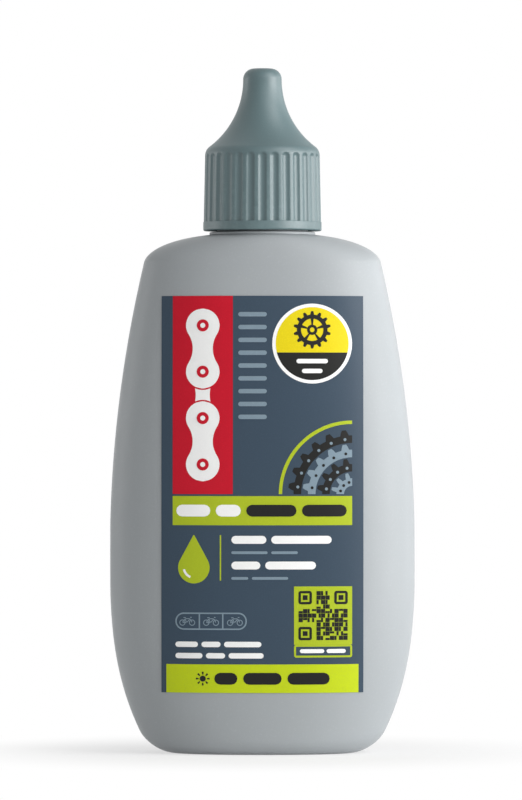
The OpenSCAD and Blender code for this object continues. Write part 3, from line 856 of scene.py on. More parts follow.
def cap_bore():
    """Path over the washer's seat and down the threaded bore to the rim."""
    path = rounded([
        (LEDGE_R, SEAT_Z, 0),
        (CAP_BORE_R, SEAT_Z, 0.2),
        (CAP_BORE_R, RIM_Z, 0.3),
        (BAND_R, RIM_Z, 0.3),
        (BAND_R, SPLIT_Z, 0),
    ])
    return divided(path[1:], CAP_THREAD_STEP)


# %% Outside of the cap
def cap_outside():
    """Path up the band, the skirt and the bell to the tip."""
    band = rounded([(BAND_R, SPLIT_Z, 0), (BAND_R, BAND_TOP, 0.1), (SKIRT_R, BAND_TOP, 0)])
    skirt_z = np.concatenate([
        np.linspace(BAND_TOP, GROOVE_END, SKIRT_RINGS + 1)[:-1],
        np.linspace(GROOVE_END, shoulder_z, SKIRT_RINGS + 1),
    ])
    skirt = np.stack([SKIRT_R - (skirt_z - BAND_TOP) * GROOVE_LEAN, skirt_z], -1)
    bend = arc((shoulder_x, shoulder_z), SHOULDER_ROUND, 0, flare_angle, steps=12)[1:]
    bell = arc((flare_x, nose_z), FLARE_R, 180 + flare_angle, 180, steps=30)[1:]
    tip = arc((NOSE_R - TIP_ROUND, nose_z), TIP_ROUND, 0, 90, steps=10)[1:]
    gate = [[radius, CAP_TOP - sunk] for radius, sunk in GATE]
    return np.vstack([band[1:-1], skirt, bend, bell, tip, gate])


# %% The cap's skin
bore_path = cap_bore()
in_bore = np.abs(bore_path[:, 0, None] - CAP_BORE_R) < HAIR
thread = ridge(cap_angles, bore_path[:, 1, None], NECK_THREAD_Z - LEAD / 2) * in_bore

outside_path = cap_outside()
plain_r, outside_z = outside_path[:, 0, None], outside_path[:, 1, None]
is_skirt = (plain_r <= SKIRT_R + HAIR) & (outside_z < GROOVE_END + GROOVE_R)
groove = np.where(is_skirt, plain_r - grooved(plain_r, outside_z), 0)

cap_rings = np.concatenate([
    turned(cap_inside(), cap_angles),
    turned(bore_path, cap_angles, -thread),
    turned(outside_path, cap_angles, -groove),
])
print("rings of the cap:", len(cap_rings), "points in each:", len(cap_angles))

# %% [markdown]
# The cap's plastic is harder than the bottle's, a dark grey with some green and blue in it. The
# ribs' crests are paler, partly from the rub of fingers and partly as a painted sheen where the
# rib tops catch the light. That paler colour follows the distance from the axis, which the shader
# can measure in the object's own space.

# %% Plastic of the cap
CAP_CLOUD = 11
CAP_SPECK = 0.4
CAP_GRAIN = 0.35
CAP_GRAIN_DEPTH = 0.01
CREST_PATCH = 1.6
CREST_LOW_R = SKIRT_TOP_R - 0.1

cap_plastic = Finish("cap_plastic", IOR=1.5, Specular_IOR_Level=1)
cloud = cap_plastic.noise(CAP_CLOUD, detail=3)
speck = cap_plastic.noise(CAP_SPECK, detail=1).ramp(0.5, 0.8)
axis_r = cap_plastic.reach(stretch=(1 / MM, 1 / MM, 0))
crest_patches = cap_plastic.noise(CREST_PATCH, detail=3).ramp(0.35, 0.7)
# Paler crests: partly finger wear, partly a painted sheen where the rib tops catch the light.
crest_wear_and_sheen = axis_r.ramp(CREST_LOW_R, SKIRT_R) * crest_patches
colour = cap_plastic.blend(cloud, tone(60, 87, 91), tone(72, 99, 103))
colour = cap_plastic.blend(crest_wear_and_sheen * 0.3 + speck * 0.1, colour, tone(104, 126, 128))
fine_grain = cap_plastic.noise(CAP_GRAIN)
cap_plastic.shade(
    Base_Color=colour,
    Roughness=0.42 + 0.05 * cloud + 0.06 * crest_wear_and_sheen,
    Normal=cap_plastic.bump(fine_grain, CAP_GRAIN_DEPTH, strength=0.5),
)

points, faces = sew(cap_rings)
piece("cap_shell", points, faces, cap_plastic, "cap", "cap")

# %% [markdown]
# The label film
#
# The label is one printed film on the front wall. A flat plane shrinkwrapped to the bottle would
# do, but the wall has a formula, so the film's points are put on it directly, lifted by a hair.
# The same function later places the printed shapes, which keeps them on the film everywhere.

# %% Sheets that follow the front wall
LABEL_W = 41
LABEL_H = 80.5
LABEL_Z = 12.8
FOOT_H = 5.8
foot_top = LABEL_Z + FOOT_H
FILM_CELL = 0.6
FILM_LIFT = 0.03
FILM_T = 0.1
INK_T = 0.025
INK_GAP = 0.01


def front_y(x, z, lift):
    """Depth of the front wall, lifted off the plastic, at a place seen from the front."""
    share = np.abs(x) / (wall_half(z, 0) + lift)
    return -(wall_half(z, 1) + lift) * (1 - share ** SQUARENESS) ** (1 / SQUARENESS)


def tile(grid, lift, thick, closed=False):
    """A thin sheet over rows of (x, z) places. In a closed one the ends of each row join."""
    grid = np.asarray(grid, float)
    rows, wide = grid.shape[:2]
    x, z = grid[..., 0], grid[..., 1]
    layers = [np.stack([x, front_y(x, z, h), z], -1).reshape(-1, 3) for h in (lift, lift + thick)]
    index = np.arange(rows * wide).reshape(rows, wide)
    left = index if closed else index[:, :-1]
    right = np.roll(index, -1, 1) if closed else index[:, 1:]
    front = rows * wide
    a, b, c, d = left[:-1], right[:-1], right[1:], left[1:]
    quads = [
        np.stack([a, b, c, d], -1) + front,
        np.stack([a, d, c, b], -1),
        np.stack([left[0], right[0], right[0] + front, left[0] + front], -1),
        np.stack([left[-1] + front, right[-1] + front, right[-1], left[-1]], -1),
    ]
    if not closed:
        low, high = index[:-1], index[1:]
        quads.append(np.stack([low[:, 0], low[:, 0] + front, high[:, 0] + front, high[:, 0]], -1))
        quads.append(
            np.stack([low[:, -1] + front, low[:, -1], high[:, -1], high[:, -1] + front], -1)
        )
    return np.vstack(layers), np.concatenate([quad.reshape(-1, 4) for quad in quads])


def bar(x, z, w, h, cell=1.0):
    """Grid of an upright rectangle from its lower left corner."""
    across = np.linspace(x, x + w, max(1, math.ceil(w / cell)) + 1)
    up = np.linspace(z, z + h, max(1, math.ceil(h / (2 * cell))) + 1)
    return np.stack(np.meshgrid(across, up), -1)


# %% [markdown]
# The film is slate grey. Print on film has a faint rosette of dots and a satin lacquer over it.
# The dots are a noise far below a millimetre, and the lacquer is the shader's own coat.


# %% Finish of film and inks
PRINT_ROUGHNESS = 0.42
DOT = 0.22
UNEVEN = 14
RIPPLE = 2.2
RIPPLE_DEPTH = 0.01
COLOUR_FADE = 1.4


def printed(name, colour, strength=0.08, low_colour=None):
    """Ink or film under lacquer: a fine grain of dots, slight unevenness, satin coat."""
    finish = Finish(name, IOR=1.48, Specular_IOR_Level=0.25, Coat_Weight=0.05, Coat_Roughness=0.3)
    dark = tuple(level * (1 - strength) for level in colour[:3]) + (1,)
    pale = tuple(min(1, level * (1 + strength) + strength * 0.02) for level in colour[:3]) + (1,)
    dots = finish.noise(DOT, detail=1)
    uneven = finish.noise(UNEVEN, detail=3)
    shade = finish.blend(uneven, dark, colour)
    if low_colour is not None:
        height = finish.node("ShaderNodeSeparateXYZ", None, {0: finish.place}, output="Z")
        above_foot = height.ramp(foot_top * MM, (foot_top + COLOUR_FADE) * MM)
        shade = finish.blend(above_foot, low_colour, shade)
    shade = finish.blend(dots.ramp(0.45, 0.75) * 0.6, shade, pale)
    finish.shade(
        Base_Color=shade,
        Roughness=PRINT_ROUGHNESS + 0.08 * uneven,
        Normal=finish.bump(finish.noise(RIPPLE), RIPPLE_DEPTH, strength=0.3),
    )
    return finish


film = printed("label_film", tone(54, 71, 87))
film_grid = bar(-LABEL_W / 2, LABEL_Z, LABEL_W, LABEL_H, cell=FILM_CELL)
points, faces = tile(film_grid, FILM_LIFT, FILM_T)
piece("label_sheet", points, faces.tolist(), film, "bottle", "label")

# %% [markdown]
# The print
#
# The print is fields of plain colour with simple drawings: a chain on a red panel, a badge with
# a cog, a quarter of a stack of sprockets, a drop of oil, small bicycles, a sun, and bars with
# round ends. Each shape is a grid of its own, so that a curve stays a curve at any zoom. All
# shapes of one ink are joined into one piece, and a shape that lies on another is a layer higher.


# %% Simple shapes as grids
def spindle(x, rows, cols=4):
    """A shape that is the same left and right of x, from rows of (height, half width)."""
    rows = np.asarray(rows, float)
    side = np.linspace(-1, 1, cols + 1)
    across = x + rows[:, 1, None] * side
    return np.stack([across, np.broadcast_to(rows[:, 0, None], across.shape)], -1)


FLAT_END = 88


def disc(x, z, radius, steps=24, cols=8, low=-FLAT_END, high=FLAT_END):
    """A round spot, or the part of it between two angles above the level line."""
    turn = np.radians(np.linspace(low, high, steps + 1))
    return spindle(x, np.stack([z + radius * np.sin(turn), radius * np.cos(turn)], -1), cols)


def round_bar(x, z, w, h, steps=6):
    """A bar with round ends."""
    turn = np.radians(np.linspace(-FLAT_END, FLAT_END, steps + 1))
    half = h / 2
    rows = np.stack([z + half + half * np.sin(turn), w / 2 - half + half * np.cos(turn)], -1)
    return spindle(x + w / 2, rows, max(4, math.ceil(w)))


def ring_part(x, z, low, high, start, end, steps):
    """A part of a ring between two radii, clockwise from one angle to another."""
    radius = np.array([low, high])[:, None]
    turn = np.radians(np.linspace(start, end, steps + 1))[None, :]
    return np.stack([x + radius * np.cos(turn), z + radius * np.sin(turn)], -1)


def hoop(x, z, low, high, steps):
    """A whole ring, whose rows close on themselves."""
    return ring_part(x, z, low, high, 360, 360 / steps, steps - 1)


STROKE_CLEAR = 0.08


def stroke(start, end, width):
    """A straight line between two places, which stops a little short of both."""
    start, end = np.array(start, float), np.array(end, float)
    along = (end - start) / np.linalg.norm(end - start)
    across = np.array([-along[1], along[0]]) * width / 2
    ends = np.stack([start + STROKE_CLEAR * along, end - STROKE_CLEAR * along])
    return np.stack([ends - across, ends + across])


TOOTH = ((0, 0), (0.22, 0), (0.29, 0.5), (0.38, 1), (0.62, 1), (0.71, 0.5), (0.78, 0))


def toothed(x, z, low, high, depth, start, step, teeth, part=False):
    """A toothed ring, or an open part of one, clockwise from its start angle."""
    turn = [start - (i + share) * step for i in range(teeth) for share, _ in TOOTH]
    rise = [up for _ in range(teeth) for _, up in TOOTH]
    if part:
        turn.append(start - teeth * step)
        rise.append(0)
    turn = np.radians(np.array(turn))
    outer = high - depth * (1 - np.array(rise))
    rows = [np.full_like(outer, low), (low + high - depth) / 2 + 0 * outer, outer]
    return np.stack([
        np.stack([x + radius * np.cos(turn), z + radius * np.sin(turn)], -1) for radius in rows
    ])


FRAME_STEP = 0.6


def frame_grid(x, z, w, h, rounding, line):
    """A closed frame with rounded corners, clockwise, as an inner and an outer row."""
    straights = (h - 2 * rounding, w - 2 * rounding) * 2
    middle = np.array([x + w / 2, z + h / 2])
    reach = np.array([w / 2 - rounding, h / 2 - rounding])
    rows = []
    for inset in (line, 0):
        bends = [
            arc(middle + reach * corner, rounding - inset, 90 - 90 * i, -90 * i, steps=8)
            for i, corner in enumerate(((1, 1), (1, -1), (-1, -1), (-1, 1)))
        ]
        row = []
        for bend, following, straight in zip(bends, bends[1:] + bends[:1], straights):
            steps = math.ceil(straight / FRAME_STEP)
            shares = np.arange(1, steps)[:, None] / steps
            row += [bend, bend[-1] + (following[0] - bend[-1]) * shares]
        rows.append(np.vstack(row))
    return rows


# %% Collect the shapes of each ink
class Ink:
    """All the shapes that are printed in one colour."""

    def __init__(self):
        self.points = []
        self.faces = []
        self.count = 0

    def add(self, layer, grid, closed=False):
        """Lays a shape on the film. Layer 1 lies on the film itself."""
        lift = FILM_LIFT + FILM_T + INK_GAP + (layer - 1) * (INK_T + INK_GAP)
        points, faces = tile(grid, lift, INK_T, closed)
        self.faces += (faces + self.count).tolist()
        self.points.append(points)
        self.count += len(points)

    def line(self, layer, x, z, width, height, bars):
        """Bars in a line, each (start, width) in shares of the line's width."""
        for start, share in bars:
            self.add(layer, round_bar(x + width * start, z, width * share, height))

    def rays(self, layer, x, z, low, high, count, half, steps):
        """Short parts of a ring round its middle, each half degrees to both sides."""
        for i in range(count):
            turn = 90 + i * 360 / count
            self.add(layer, ring_part(x, z, low, high, turn + half, turn - half, steps))

    def finish(self, name, finish, slot, stands_for):
        """Joins the shapes into one piece."""
        piece(name, np.vstack(self.points), self.faces, finish, "bottle", stands_for)


red, lime, yellow, white, grey, dark = (Ink() for _ in range(6))

# %% [markdown]
# Upper half of the label
#
# The red panel takes the left side from the top down. On it stands a length of roller chain: two
# outer plates with round ends, and between them the waist of an inner plate, which is cut round
# where the outer ones cover it. A plate's waist is an arc that touches both of its round ends.

# %% Layout of the upper fields
COLUMN_GAP = 1.1
LINE_GAP = 1.2
RULE_GAP = 2
RED_W = 12.2
RED_H = 40.2
LINKS = 3
CHAIN_MARGIN = 2.6
LINK_R = 3.4
WAIST = 0.6
BADGE_R = 8.1
BADGE_DROP = 1.6
BADGE_RIM = 0.7
BADGE_DARK_H = 5.6
BAND_GAP = 0.4
BAND_H = 5.9
THICK_BAR_H = 2.4
FIELD_MARGIN = 2.3
label_top = LABEL_Z + LABEL_H
left_x = -LABEL_W / 2 + FIELD_MARGIN
right_x = LABEL_W / 2 - FIELD_MARGIN
field_w = right_x - left_x
red_z = label_top - RED_H
chain_x = left_x + RED_W / 2
chain_z = red_z + CHAIN_MARGIN + LINK_R
link_pitch = (RED_H - 2 * (CHAIN_MARGIN + LINK_R)) / LINKS
badge_x = right_x - BADGE_R
badge_z = label_top - BADGE_DROP - BADGE_R
band_z = red_z - BAND_GAP - BAND_H
print(f"drawn chain: {LINKS} pitches of {link_pitch:.1f} mm")


# %% Red panel and chain
INNER_END = 0.92
INNER_WAIST = 0.42
PLATE_GAP = 0.3
PLATE_TIP = 0.998
RIVET_R = LINK_R * 0.36
DOT_R = LINK_R * 0.15


def plate_half(heights, end, waist):
    """Half width of a plate at heights over its lower pin."""
    to_pin = np.minimum(np.abs(heights), np.abs(heights - link_pitch))
    half = np.sqrt(np.clip(end ** 2 - to_pin ** 2, 0, None))
    hollow = (waist ** 2 + link_pitch ** 2 / 4 - end ** 2) / (2 * (end - waist))
    touch = link_pitch / 2 * end / (end + hollow)
    off = np.clip(np.abs(heights - link_pitch / 2), 0, hollow)
    inner = (heights > touch) & (heights < link_pitch - touch)
    return np.where(inner, waist + hollow - np.sqrt(hollow ** 2 - off ** 2), half)


def outer_plate(z, steps=64):
    """An outer plate from the pin at z to the next one."""
    reach = link_pitch / 2 + LINK_R * PLATE_TIP
    heights = link_pitch / 2 + reach * np.linspace(-1, 1, steps + 1)
    half = plate_half(heights, LINK_R, LINK_R * WAIST)
    return spindle(chain_x, np.stack([z + heights, half], -1), cols=6)


def inner_plate(z, rows=12, cols=8):
    """What shows of an inner plate between two outer ones."""
    cover = LINK_R + PLATE_GAP
    shares = np.linspace(0, 1, rows + 1)
    heights = cover + (link_pitch - 2 * cover) * shares
    half = plate_half(heights, LINK_R * INNER_END, LINK_R * INNER_WAIST)
    off = half[:, None] * np.linspace(-1, 1, cols + 1)
    rise = np.sqrt(cover ** 2 - off ** 2)
    return np.stack([
        chain_x + off, z + rise + (link_pitch - 2 * rise) * shares[:, None]
    ], -1)


red.add(1, bar(left_x, red_z, RED_W, RED_H))
for i in range(LINKS):
    pin_z = chain_z + i * link_pitch
    white.add(2, inner_plate(pin_z) if i % 2 else outer_plate(pin_z))
for i in range(LINKS + 1):
    red.add(3, disc(chain_x, chain_z + i * link_pitch, RIVET_R))
    white.add(4, disc(chain_x, chain_z + i * link_pitch, DOT_R, steps=12, cols=4))
print("shapes of the chain:", len(red.points) - 1, "red,", len(white.points), "white")

# %% [markdown]
# The badge is yellow above and near black below, like a road sign with a plate under it, and a
# white rim runs round both. The stack of sprockets in the corner is drawn as toothed quarters of
# rings with small holes, one inside the other, in two inks by turns.

# %% Ticks and badge
TICKS = 9
TICK_STEP = 2.6
SMALL_H = 0.9
BADGE_BARS = ((4.1, 6.4), (2.1, 4.2))
SPLIT_GAP = 0.3
COG_TEETH = 14
COG_TOOTH_H = 0.7
COG_R = BADGE_R * 0.47
COG_IN_R = BADGE_R * 0.28
HUB_R = BADGE_R * 0.13
HUB_HOLE_R = HUB_R * 0.45
SPOKES = 5
SPOKE_HALF = 8
tick_x = left_x + RED_W + COLUMN_GAP
tick_w = badge_x - BADGE_R - COLUMN_GAP - tick_x
for i in range(1, TICKS + 1):
    grey.add(1, round_bar(tick_x, label_top - BADGE_DROP - i * TICK_STEP, tick_w, SMALL_H))

badge_in_r = BADGE_R - BADGE_RIM
split_off = BADGE_DARK_H - badge_in_r
split = math.degrees(math.asin(split_off / badge_in_r))
yellow.add(1, disc(badge_x, badge_z, badge_in_r, steps=40, cols=12, low=split))
dark.add(1, disc(badge_x, badge_z, badge_in_r, steps=30, cols=12, high=split - SPLIT_GAP))
white.add(1, hoop(badge_x, badge_z, badge_in_r + INK_GAP, BADGE_R, steps=96), closed=True)
for over_foot, w in BADGE_BARS:
    white.add(2, round_bar(badge_x - w / 2, badge_z - BADGE_R + over_foot, w, SMALL_H))

cog_z = badge_z + (split_off + badge_in_r) / 2
cog_step = 360 / COG_TEETH
cog = toothed(badge_x, cog_z, COG_IN_R, COG_R, COG_TOOTH_H, 360, cog_step, COG_TEETH)
dark.add(2, cog, closed=True)
dark.add(2, hoop(badge_x, cog_z, HUB_HOLE_R, HUB_R, steps=36), closed=True)
dark.rays(2, badge_x, cog_z, HUB_R, COG_IN_R, SPOKES, SPOKE_HALF, steps=3)
print(f"badge {2 * BADGE_R:.1f} mm across, with a cog of {COG_TEETH} teeth")

# %% Sprockets
RING_R = 13
SPROCKETS = 4
SPROCKET_STEP = 2.9
SPROCKET_GAP = 0.25
OUTER_TEETH = 6
TOOTH_H = 1.1
HOLE_R = 0.3
ARC_R = RING_R + 1.2
ARC_W = 0.7
for i in range(SPROCKETS):
    high = RING_R - i * SPROCKET_STEP
    low = high - SPROCKET_STEP + SPROCKET_GAP
    teeth = OUTER_TEETH - i
    step = 90 / teeth
    ring_ink, hole_ink = (grey, dark) if i % 2 else (dark, grey)
    ring_ink.add(
        1, toothed(right_x, red_z, low, high, TOOTH_H, 180, step, teeth, part=True)
    )
    hole_ring_r = (low + high - TOOTH_H) / 2
    for turn in np.radians(180 - step * (np.arange(teeth) + 0.5)):
        hole_x = right_x + hole_ring_r * math.cos(turn)
        hole_z = red_z + hole_ring_r * math.sin(turn)
        hole_ink.add(2, disc(hole_x, hole_z, HOLE_R, steps=12, cols=4))
lime.add(1, ring_part(right_x, red_z, ARC_R, ARC_R + ARC_W, 180, 90, steps=30))
print("teeth in the quarters:", [OUTER_TEETH - i for i in range(SPROCKETS)])

# %% [markdown]
# Lower half of the label
#
# A lime band crosses the label under the panel. Below it come a drop of oil, a thin rule, pale
# bars in lines, a frame of three cells with a small bicycle in each, a checked square over a
# small frame, and a second lime band with a sun along the lower edge.

# %% Lime band, rule and lines of bars
BAR_H = 1.9
WHITE_BAR_H = 1.6
GREY_BAR_H = 0.55
LINE_W = 0.4
RULE_INSET = 0.06
DROP_W = 6.4
DROP_H = 9.8
block_top = band_z - RULE_GAP
line_step = BAR_H + SMALL_H + 2 * LINE_GAP
block_h = 2 * line_step - LINE_GAP
drop_x = left_x + COLUMN_GAP + DROP_W / 2
rule_x = drop_x + DROP_W / 2 + RULE_GAP
line_x = rule_x + LINE_W + RULE_GAP
line_w = right_x - line_x
band_bar_z = band_z + (BAND_H - THICK_BAR_H) / 2

lime.add(1, bar(left_x, band_z, field_w, BAND_H))
white.line(2, left_x, band_bar_z, field_w, THICK_BAR_H, ((0.02, 0.19), (0.24, 0.14)))
dark.line(2, left_x, band_bar_z, field_w, THICK_BAR_H, ((0.41, 0.28), (0.72, 0.25)))
rule_w = LINE_W - 2 * RULE_INSET
lime.add(1, bar(rule_x + RULE_INSET, block_top - block_h, rule_w, block_h))
white_bars = (((0, 0.29), (0.33, 0.5)), ((0, 0.24), (0.28, 0.42)))
grey_bars = (((0, 0.3), (0.33, 0.22)), ((0, 0.14), (0.17, 0.3)))
for i in range(2):
    white_z = block_top - i * line_step - (BAR_H + WHITE_BAR_H) / 2
    grey_z = block_top - i * line_step - BAR_H - LINE_GAP - (SMALL_H + GREY_BAR_H) / 2
    white.line(1, line_x, white_z, line_w, WHITE_BAR_H, white_bars[i])
    grey.line(1, line_x, grey_z, line_w, GREY_BAR_H, grey_bars[i])
print(f"lines of bars over {line_w:.1f} by {block_h:.1f} mm")


# %% Drop of oil
DROP_TIP = 0.08
GLINT_R = DROP_W * 0.28
GLINT_W = DROP_W * 0.07


def drop_rows(z, wide, high, steps=24):
    """Heights and half widths of a drop with its round end down."""
    radius = wide / 2
    lean = math.degrees(math.asin(radius / (high - radius)))
    turn = np.radians(np.linspace(-FLAT_END, lean, steps + 1))
    rows = np.stack([z + radius + radius * np.sin(turn), radius * np.cos(turn)], -1)
    return np.vstack([rows, [[z + high, DROP_TIP]]])


drop_z = block_top - DROP_H
lime.add(1, spindle(drop_x, drop_rows(drop_z, DROP_W, DROP_H), cols=8))
glint_z = drop_z + DROP_W / 2
white.add(2, ring_part(drop_x, glint_z, GLINT_R, GLINT_R + GLINT_W, 250, 190, steps=12))
print(f"drop {DROP_W} by {DROP_H} mm")

# %% Lowest band with a sun
FOOT_MARGIN = 1
SUN_SHARE = 0.19
SUN_R = 0.62
SUN_GAP = 0.22
SUN_REACH = 1.4
RAYS = 8
RAY_HALF = 8
foot_x = -LABEL_W / 2 + FOOT_MARGIN
foot_w = LABEL_W - 2 * FOOT_MARGIN
foot_bar_z = LABEL_Z + (FOOT_H - THICK_BAR_H) / 2
foot_bars = ((0.25, 0.12), (0.4, 0.2), (0.63, 0.22))
sun_x = foot_x + foot_w * SUN_SHARE
sun_z = LABEL_Z + FOOT_H / 2

lime.add(1, bar(foot_x, LABEL_Z, foot_w, FOOT_H))
dark.add(2, disc(sun_x, sun_z, SUN_R, steps=12, cols=4))
dark.rays(2, sun_x, sun_z, SUN_R + SUN_GAP, SUN_REACH, RAYS, RAY_HALF, steps=2)
dark.line(2, foot_x, foot_bar_z, foot_w, THICK_BAR_H, foot_bars)
print(f"sun {2 * SUN_REACH:.1f} mm across, with {RAYS} rays")

# %% Two lines of bars and a frame of three cells
CELLS = 3
NOTE_H = 1.4
NOTE_BAR_H = 1.1
NOTE_GAP = LINE_GAP * 0.75
PILL_W = 14.5
PILL_H = 3.5
PILL_ROUND = 1.7
PILL_LINE = 0.28
CODE_SIDE = 11.8
code_x = right_x - CODE_SIDE
code_z = block_top - block_h - LINE_GAP - CODE_SIDE
note_x = left_x + COLUMN_GAP / 2
note_z = foot_top + LINE_GAP
note_w = code_x - COLUMN_GAP - note_x
note_step = NOTE_H + NOTE_GAP
pill_z = note_z + 2 * note_step + LINE_GAP

notes = (((0, 0.24), (0.27, 0.17), (0.47, 0.31)), ((0, 0.2), (0.23, 0.17), (0.43, 0.33)))
for i, bars in enumerate(notes):
    white.line(1, note_x, note_z + i * note_step, note_w, NOTE_BAR_H, bars)

grey.add(1, frame_grid(note_x, pill_z, PILL_W, PILL_H, PILL_ROUND, PILL_LINE), closed=True)
upright_z = pill_z + PILL_LINE + INK_GAP
upright_h = PILL_H - 2 * (PILL_LINE + INK_GAP)
for i in range(1, CELLS):
    upright_x = note_x + (PILL_W - PILL_LINE) * i / CELLS
    grey.add(1, bar(upright_x, upright_z, PILL_LINE, upright_h))
print(f"frame of {CELLS} cells, {PILL_W} by {PILL_H} mm")

# %% A small bicycle in each cell
WHEEL_IN_R = 0.46
WHEEL_R = 0.62
TUBE_W = 0.16
REAR_HUB = (-0.98, -0.3)
FRONT_HUB = (0.98, -0.3)
CRANK = (-0.12, -0.3)
SEAT = (-0.45, 0.5)
HEAD = (0.62, 0.5)
SADDLE = ((-0.85, 0.72), (-0.2, 0.72))
HANDLEBAR = ((0.5, 0.78), (1, 0.78))
chain_stay, seat_stay, seat_tube = (REAR_HUB, CRANK), (REAR_HUB, SEAT), (CRANK, SEAT)
down_tube, top_tube, fork = (CRANK, HEAD), (SEAT, HEAD), (HEAD, FRONT_HUB)
tubes = (chain_stay, seat_stay, seat_tube, down_tube, top_tube, fork, SADDLE, HANDLEBAR)
for i in range(CELLS):
    middle = np.array([note_x + PILL_W * (i + 0.5) / CELLS, pill_z + PILL_H / 2])
    for hub in (REAR_HUB, FRONT_HUB):
        grey.add(1, hoop(*(middle + hub), WHEEL_IN_R, WHEEL_R, steps=36), closed=True)
    for start, end in tubes:
        grey.add(2, stroke(middle + start, middle + end, TUBE_W))
print("lines in a bicycle:", len(tubes))

# %% Checked square and the frame under it
CODE_RIM = 0.9
CODE_CELLS = 11
MARK_CELLS = 3
MARK_LINE = 0.5
MARK_ROUND = 0.52
MARK_SPOT = 0.36
CELL_GAP = 0.03
CAPTION_H = 2.6
CAPTION_LINE = 0.4
CAPTION_ROUND = 0.45
CAPTION_BAR_H = 0.8
cell = (CODE_SIDE - 2 * CODE_RIM) / CODE_CELLS
mark_side = MARK_CELLS * cell
grid_x = code_x + CODE_RIM
grid_z = code_z + CODE_RIM
far = CODE_SIDE - 2 * CODE_RIM - mark_side


def in_mark(i, k):
    """True in the three corners that hold a framed mark."""
    last = CODE_CELLS - MARK_CELLS - 1
    return (i <= MARK_CELLS and (k <= MARK_CELLS or k >= last)) or (i >= last and k >= last)


def is_full(i, k):
    """A made-up rule that fills about half of the cells and leaves the others half filled."""
    return (3 * i * i + 5 * k * k + i * k + 2 * k) % 11 < 5


lime.add(1, bar(code_x, code_z, CODE_SIDE, CODE_SIDE))
side = cell - 2 * CELL_GAP
for i in range(CODE_CELLS):
    for k in range(CODE_CELLS):
        if in_mark(i, k):
            continue
        low_x = grid_x + i * cell + CELL_GAP
        low_z = grid_z + k * cell + CELL_GAP
        if is_full(i, k):
            dark.add(2, bar(low_x, low_z, side, side))
        elif (i + 2 * k) % 3:
            dark.add(2, bar(low_x + side / 2 * (k % 2), low_z, side / 2, side))
        else:
            dark.add(2, bar(low_x, low_z + side / 2 * (i % 2), side, side / 2))
spot = mark_side * MARK_SPOT
spot_in = (mark_side - spot) / 2
for mark_x, mark_z in ((grid_x, grid_z), (grid_x, grid_z + far), (grid_x + far, grid_z + far)):
    mark = frame_grid(mark_x, mark_z, mark_side, mark_side, MARK_ROUND, MARK_LINE)
    dark.add(2, mark, closed=True)
    dark.add(2, bar(mark_x + spot_in, mark_z + spot_in, spot, spot))

caption_z = code_z - CAPTION_H - INK_GAP
caption_bar_z = caption_z + (CAPTION_H - CAPTION_BAR_H) / 2
caption = frame_grid(code_x, caption_z, CODE_SIDE, CAPTION_H, CAPTION_ROUND, CAPTION_LINE)
lime.add(1, caption, closed=True)
white.line(1, code_x, caption_bar_z, CODE_SIDE, CAPTION_BAR_H, ((0.1, 0.42), (0.56, 0.33)))
print(f"square of {CODE_CELLS} by {CODE_CELLS} cells, each {cell:.2f} mm wide")

# %% Ink pieces
for ink, name, colour, strength, low_colour in (
    (red, "red", tone(199, 7, 38), 0.08, None),
    (lime, "lime", tone(174, 191, 34), 0.08, tone(192, 210, 12)),
    (yellow, "yellow", tone(232, 211, 4), 0.08, None),
    (white, "white", tone(249, 249, 248), 0.03, None),
    (grey, "grey", tone(128, 147, 160), 0.08, None),
    (dark, "dark", tone(13, 13, 11), 0.08, None),
):
    slot = name + "_ink"
    finish = printed(slot, colour, strength, low_colour=low_colour)
    ink.finish(name + "_print", finish, slot, "print_" + name)

# %% [markdown]
# Floor and background
#
# The bottle stands on plain white. A white floor alone would show a grey horizon, and a glowing
# one would lose the shadow. So the floor is part paper and part glow round the bottle, where it
# takes a soft shadow, and all glow further out, for rays that are looked along. The room and
# its lamps are measured in metres.

# %% Floor
FLOOR_HALF = 3.0
PAPER_R = 0.025
FADE_R = 0.075
GLOW_NEAR = 0.62

floor_mesh = bpy.data.meshes.new("floor")
floor_mesh.from_pydata(
    [(x * FLOOR_HALF, y * FLOOR_HALF, 0) for x, y in ((-1, -1), (1, -1), (1, 1), (-1, 1))],
    [],
    [(0, 1, 2, 3)],
)
floor = add_object("floor", floor_mesh)
floor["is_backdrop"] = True

paper = Finish("floor_paper", Roughness=0.9, Base_Color=tone(244, 244, 244))
floor_mesh.materials.append(paper.material)


def looked_along(network):
    """1 for rays from the camera, from gloss and through glass, and 0 for soft light."""
    camera_ray, gloss_ray, glass_ray = (
        network.node("ShaderNodeLightPath", output=name)
        for name in ("Is Camera Ray", "Is Glossy Ray", "Is Transmission Ray")
    )
    seen = camera_ray + gloss_ray + glass_ray
    return network.math("MINIMUM", seen, 1)


distance = paper.reach(stretch=(1, 1, 1))
glow = paper.node("ShaderNodeEmission", None, {"Color": (1, 1, 1, 1), "Strength": 1})
shader_out = Value(paper, paper.shader.outputs[0])
glow_share = GLOW_NEAR + (1 - GLOW_NEAR) * distance.ramp(PAPER_R, FADE_R)
mixed = paper.node(
    "ShaderNodeMixShader", None, {0: glow_share * looked_along(paper), 1: shader_out, 2: glow}
)
paper.put(paper.tree.nodes["Material Output"].inputs["Surface"], mixed)
print(f"floor {2 * FLOOR_HALF:.0f} m wide, all glow from {FADE_R} m out")

# %% [markdown]
# The world is the soft light of a white studio. Its light on the bottle is kept low, so that
# the lamps can model the form, and only rays that are looked along see it as plain white.

# %% World
AMBIENT = 0.29
world = bpy.data.worlds.new("studio")
bpy.context.scene.world = world
world.use_nodes = True
sky = Network(world.node_tree)
backdrop = world.node_tree.nodes["Background"]
backdrop.inputs["Color"].default_value = (1, 1, 1, 1)
sky.put(backdrop.inputs["Strength"], looked_along(sky) * (1 - AMBIENT) + AMBIENT)
print("strength of the world's soft light:", AMBIENT)

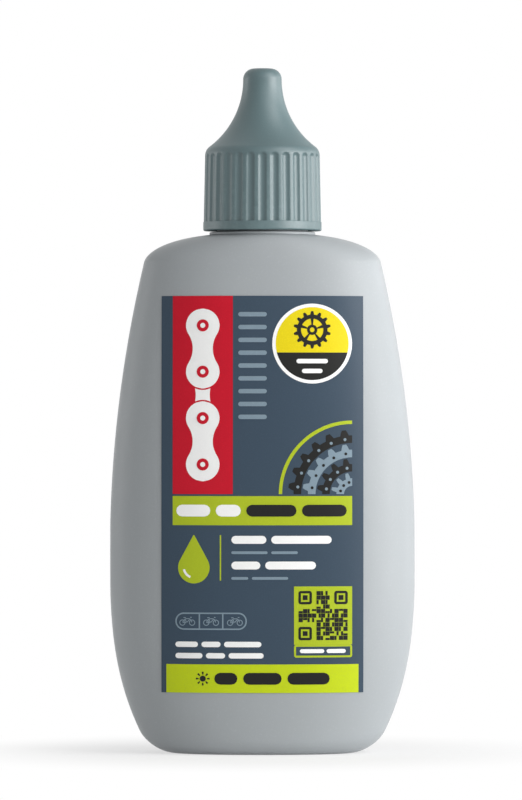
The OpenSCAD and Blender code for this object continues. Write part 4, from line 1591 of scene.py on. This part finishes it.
# %% [markdown]
# Lamps
#
# The photograph is lit from the right: a broad pale band runs down the right side, and the left
# side lies in half shade. The key lamp draws that band. One behind the right edge keeps it pale
# to its end, one from above lights the shoulder and the bell, one in front lifts the label, and
# a weak one behind the left edge parts it from the background. Area lamps of the real size of a
# softbox give these gradients without any painted light.


# %% Softboxes
BOTTLE_MIDDLE = (0, 0, 0.07)
CAP_MIDDLE = (0, 0, 0.12)


def softbox(name, place, size, watts, aim=BOTTLE_MIDDLE):
    """A rectangular area lamp that faces the bottle."""
    lamp = bpy.data.lights.new(name, "AREA")
    lamp.shape = "RECTANGLE"
    lamp.size, lamp.size_y = size
    lamp.energy = watts
    holder = add_object(name, lamp)
    holder.location = place
    toward = np.array(place) - np.array(aim)
    holder.rotation_mode = "QUATERNION"
    holder.rotation_quaternion = Vector(toward).to_track_quat("Z", "Y")
    print(f"lamp {name}: {watts} W from {np.linalg.norm(toward):.2f} m")


softbox("key", (0.95, -0.4, 0.2), (0.9, 0.5), 10.5)
softbox("right_edge", (0.85, 0.42, 0.2), (0.5, 0.6), 2.2)
softbox("top", (0.6, -0.35, 0.75), (0.6, 0.5), 2.8, aim=CAP_MIDDLE)
softbox("front", (0.35, -1.1, 0.65), (0.7, 0.6), 1.6)
softbox("left_edge", (-0.8, 0.25, 0.05), (0.2, 0.6), 1.2)

# %% [markdown]
# Camera
#
# The photograph is taken level with the label from far off, so that the neck, the foot and the
# label's edges stay nearly straight. A long lens from over a metre away does the same.

# %% Camera
PHOTO_W = 522
PHOTO_H = 800
AXIS_PX = 262.4
FLOOR_PX = 752
MM_PER_PX = 0.205
CAMERA_FAR = 1.25
SENSOR = 36

camera_data = bpy.data.cameras.new("camera")
camera = add_object("camera", camera_data)
bpy.context.scene.camera = camera
camera_data.sensor_width = SENSOR
camera_data.lens = SENSOR * CAMERA_FAR / (PHOTO_H * MM_PER_PX * MM)
camera.location = (
    (PHOTO_W / 2 - AXIS_PX) * MM_PER_PX * MM,
    -CAMERA_FAR,
    (FLOOR_PX - PHOTO_H / 2) * MM_PER_PX * MM,
)
camera.rotation_euler = (math.pi / 2, 0, 0)
print(f"lens {camera_data.lens:.0f} mm, {CAMERA_FAR} m away")

# %% [markdown]
#
# The dressed bottle has to stay inside the box of its solids, and both boxes are written out.

# %% Colour view and sizes
bpy.context.scene.view_settings.view_transform = "Standard"
low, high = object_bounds()
print("visual box in mm:", (np.array(low) / MM).round(3), (np.array(high) / MM).round(3))
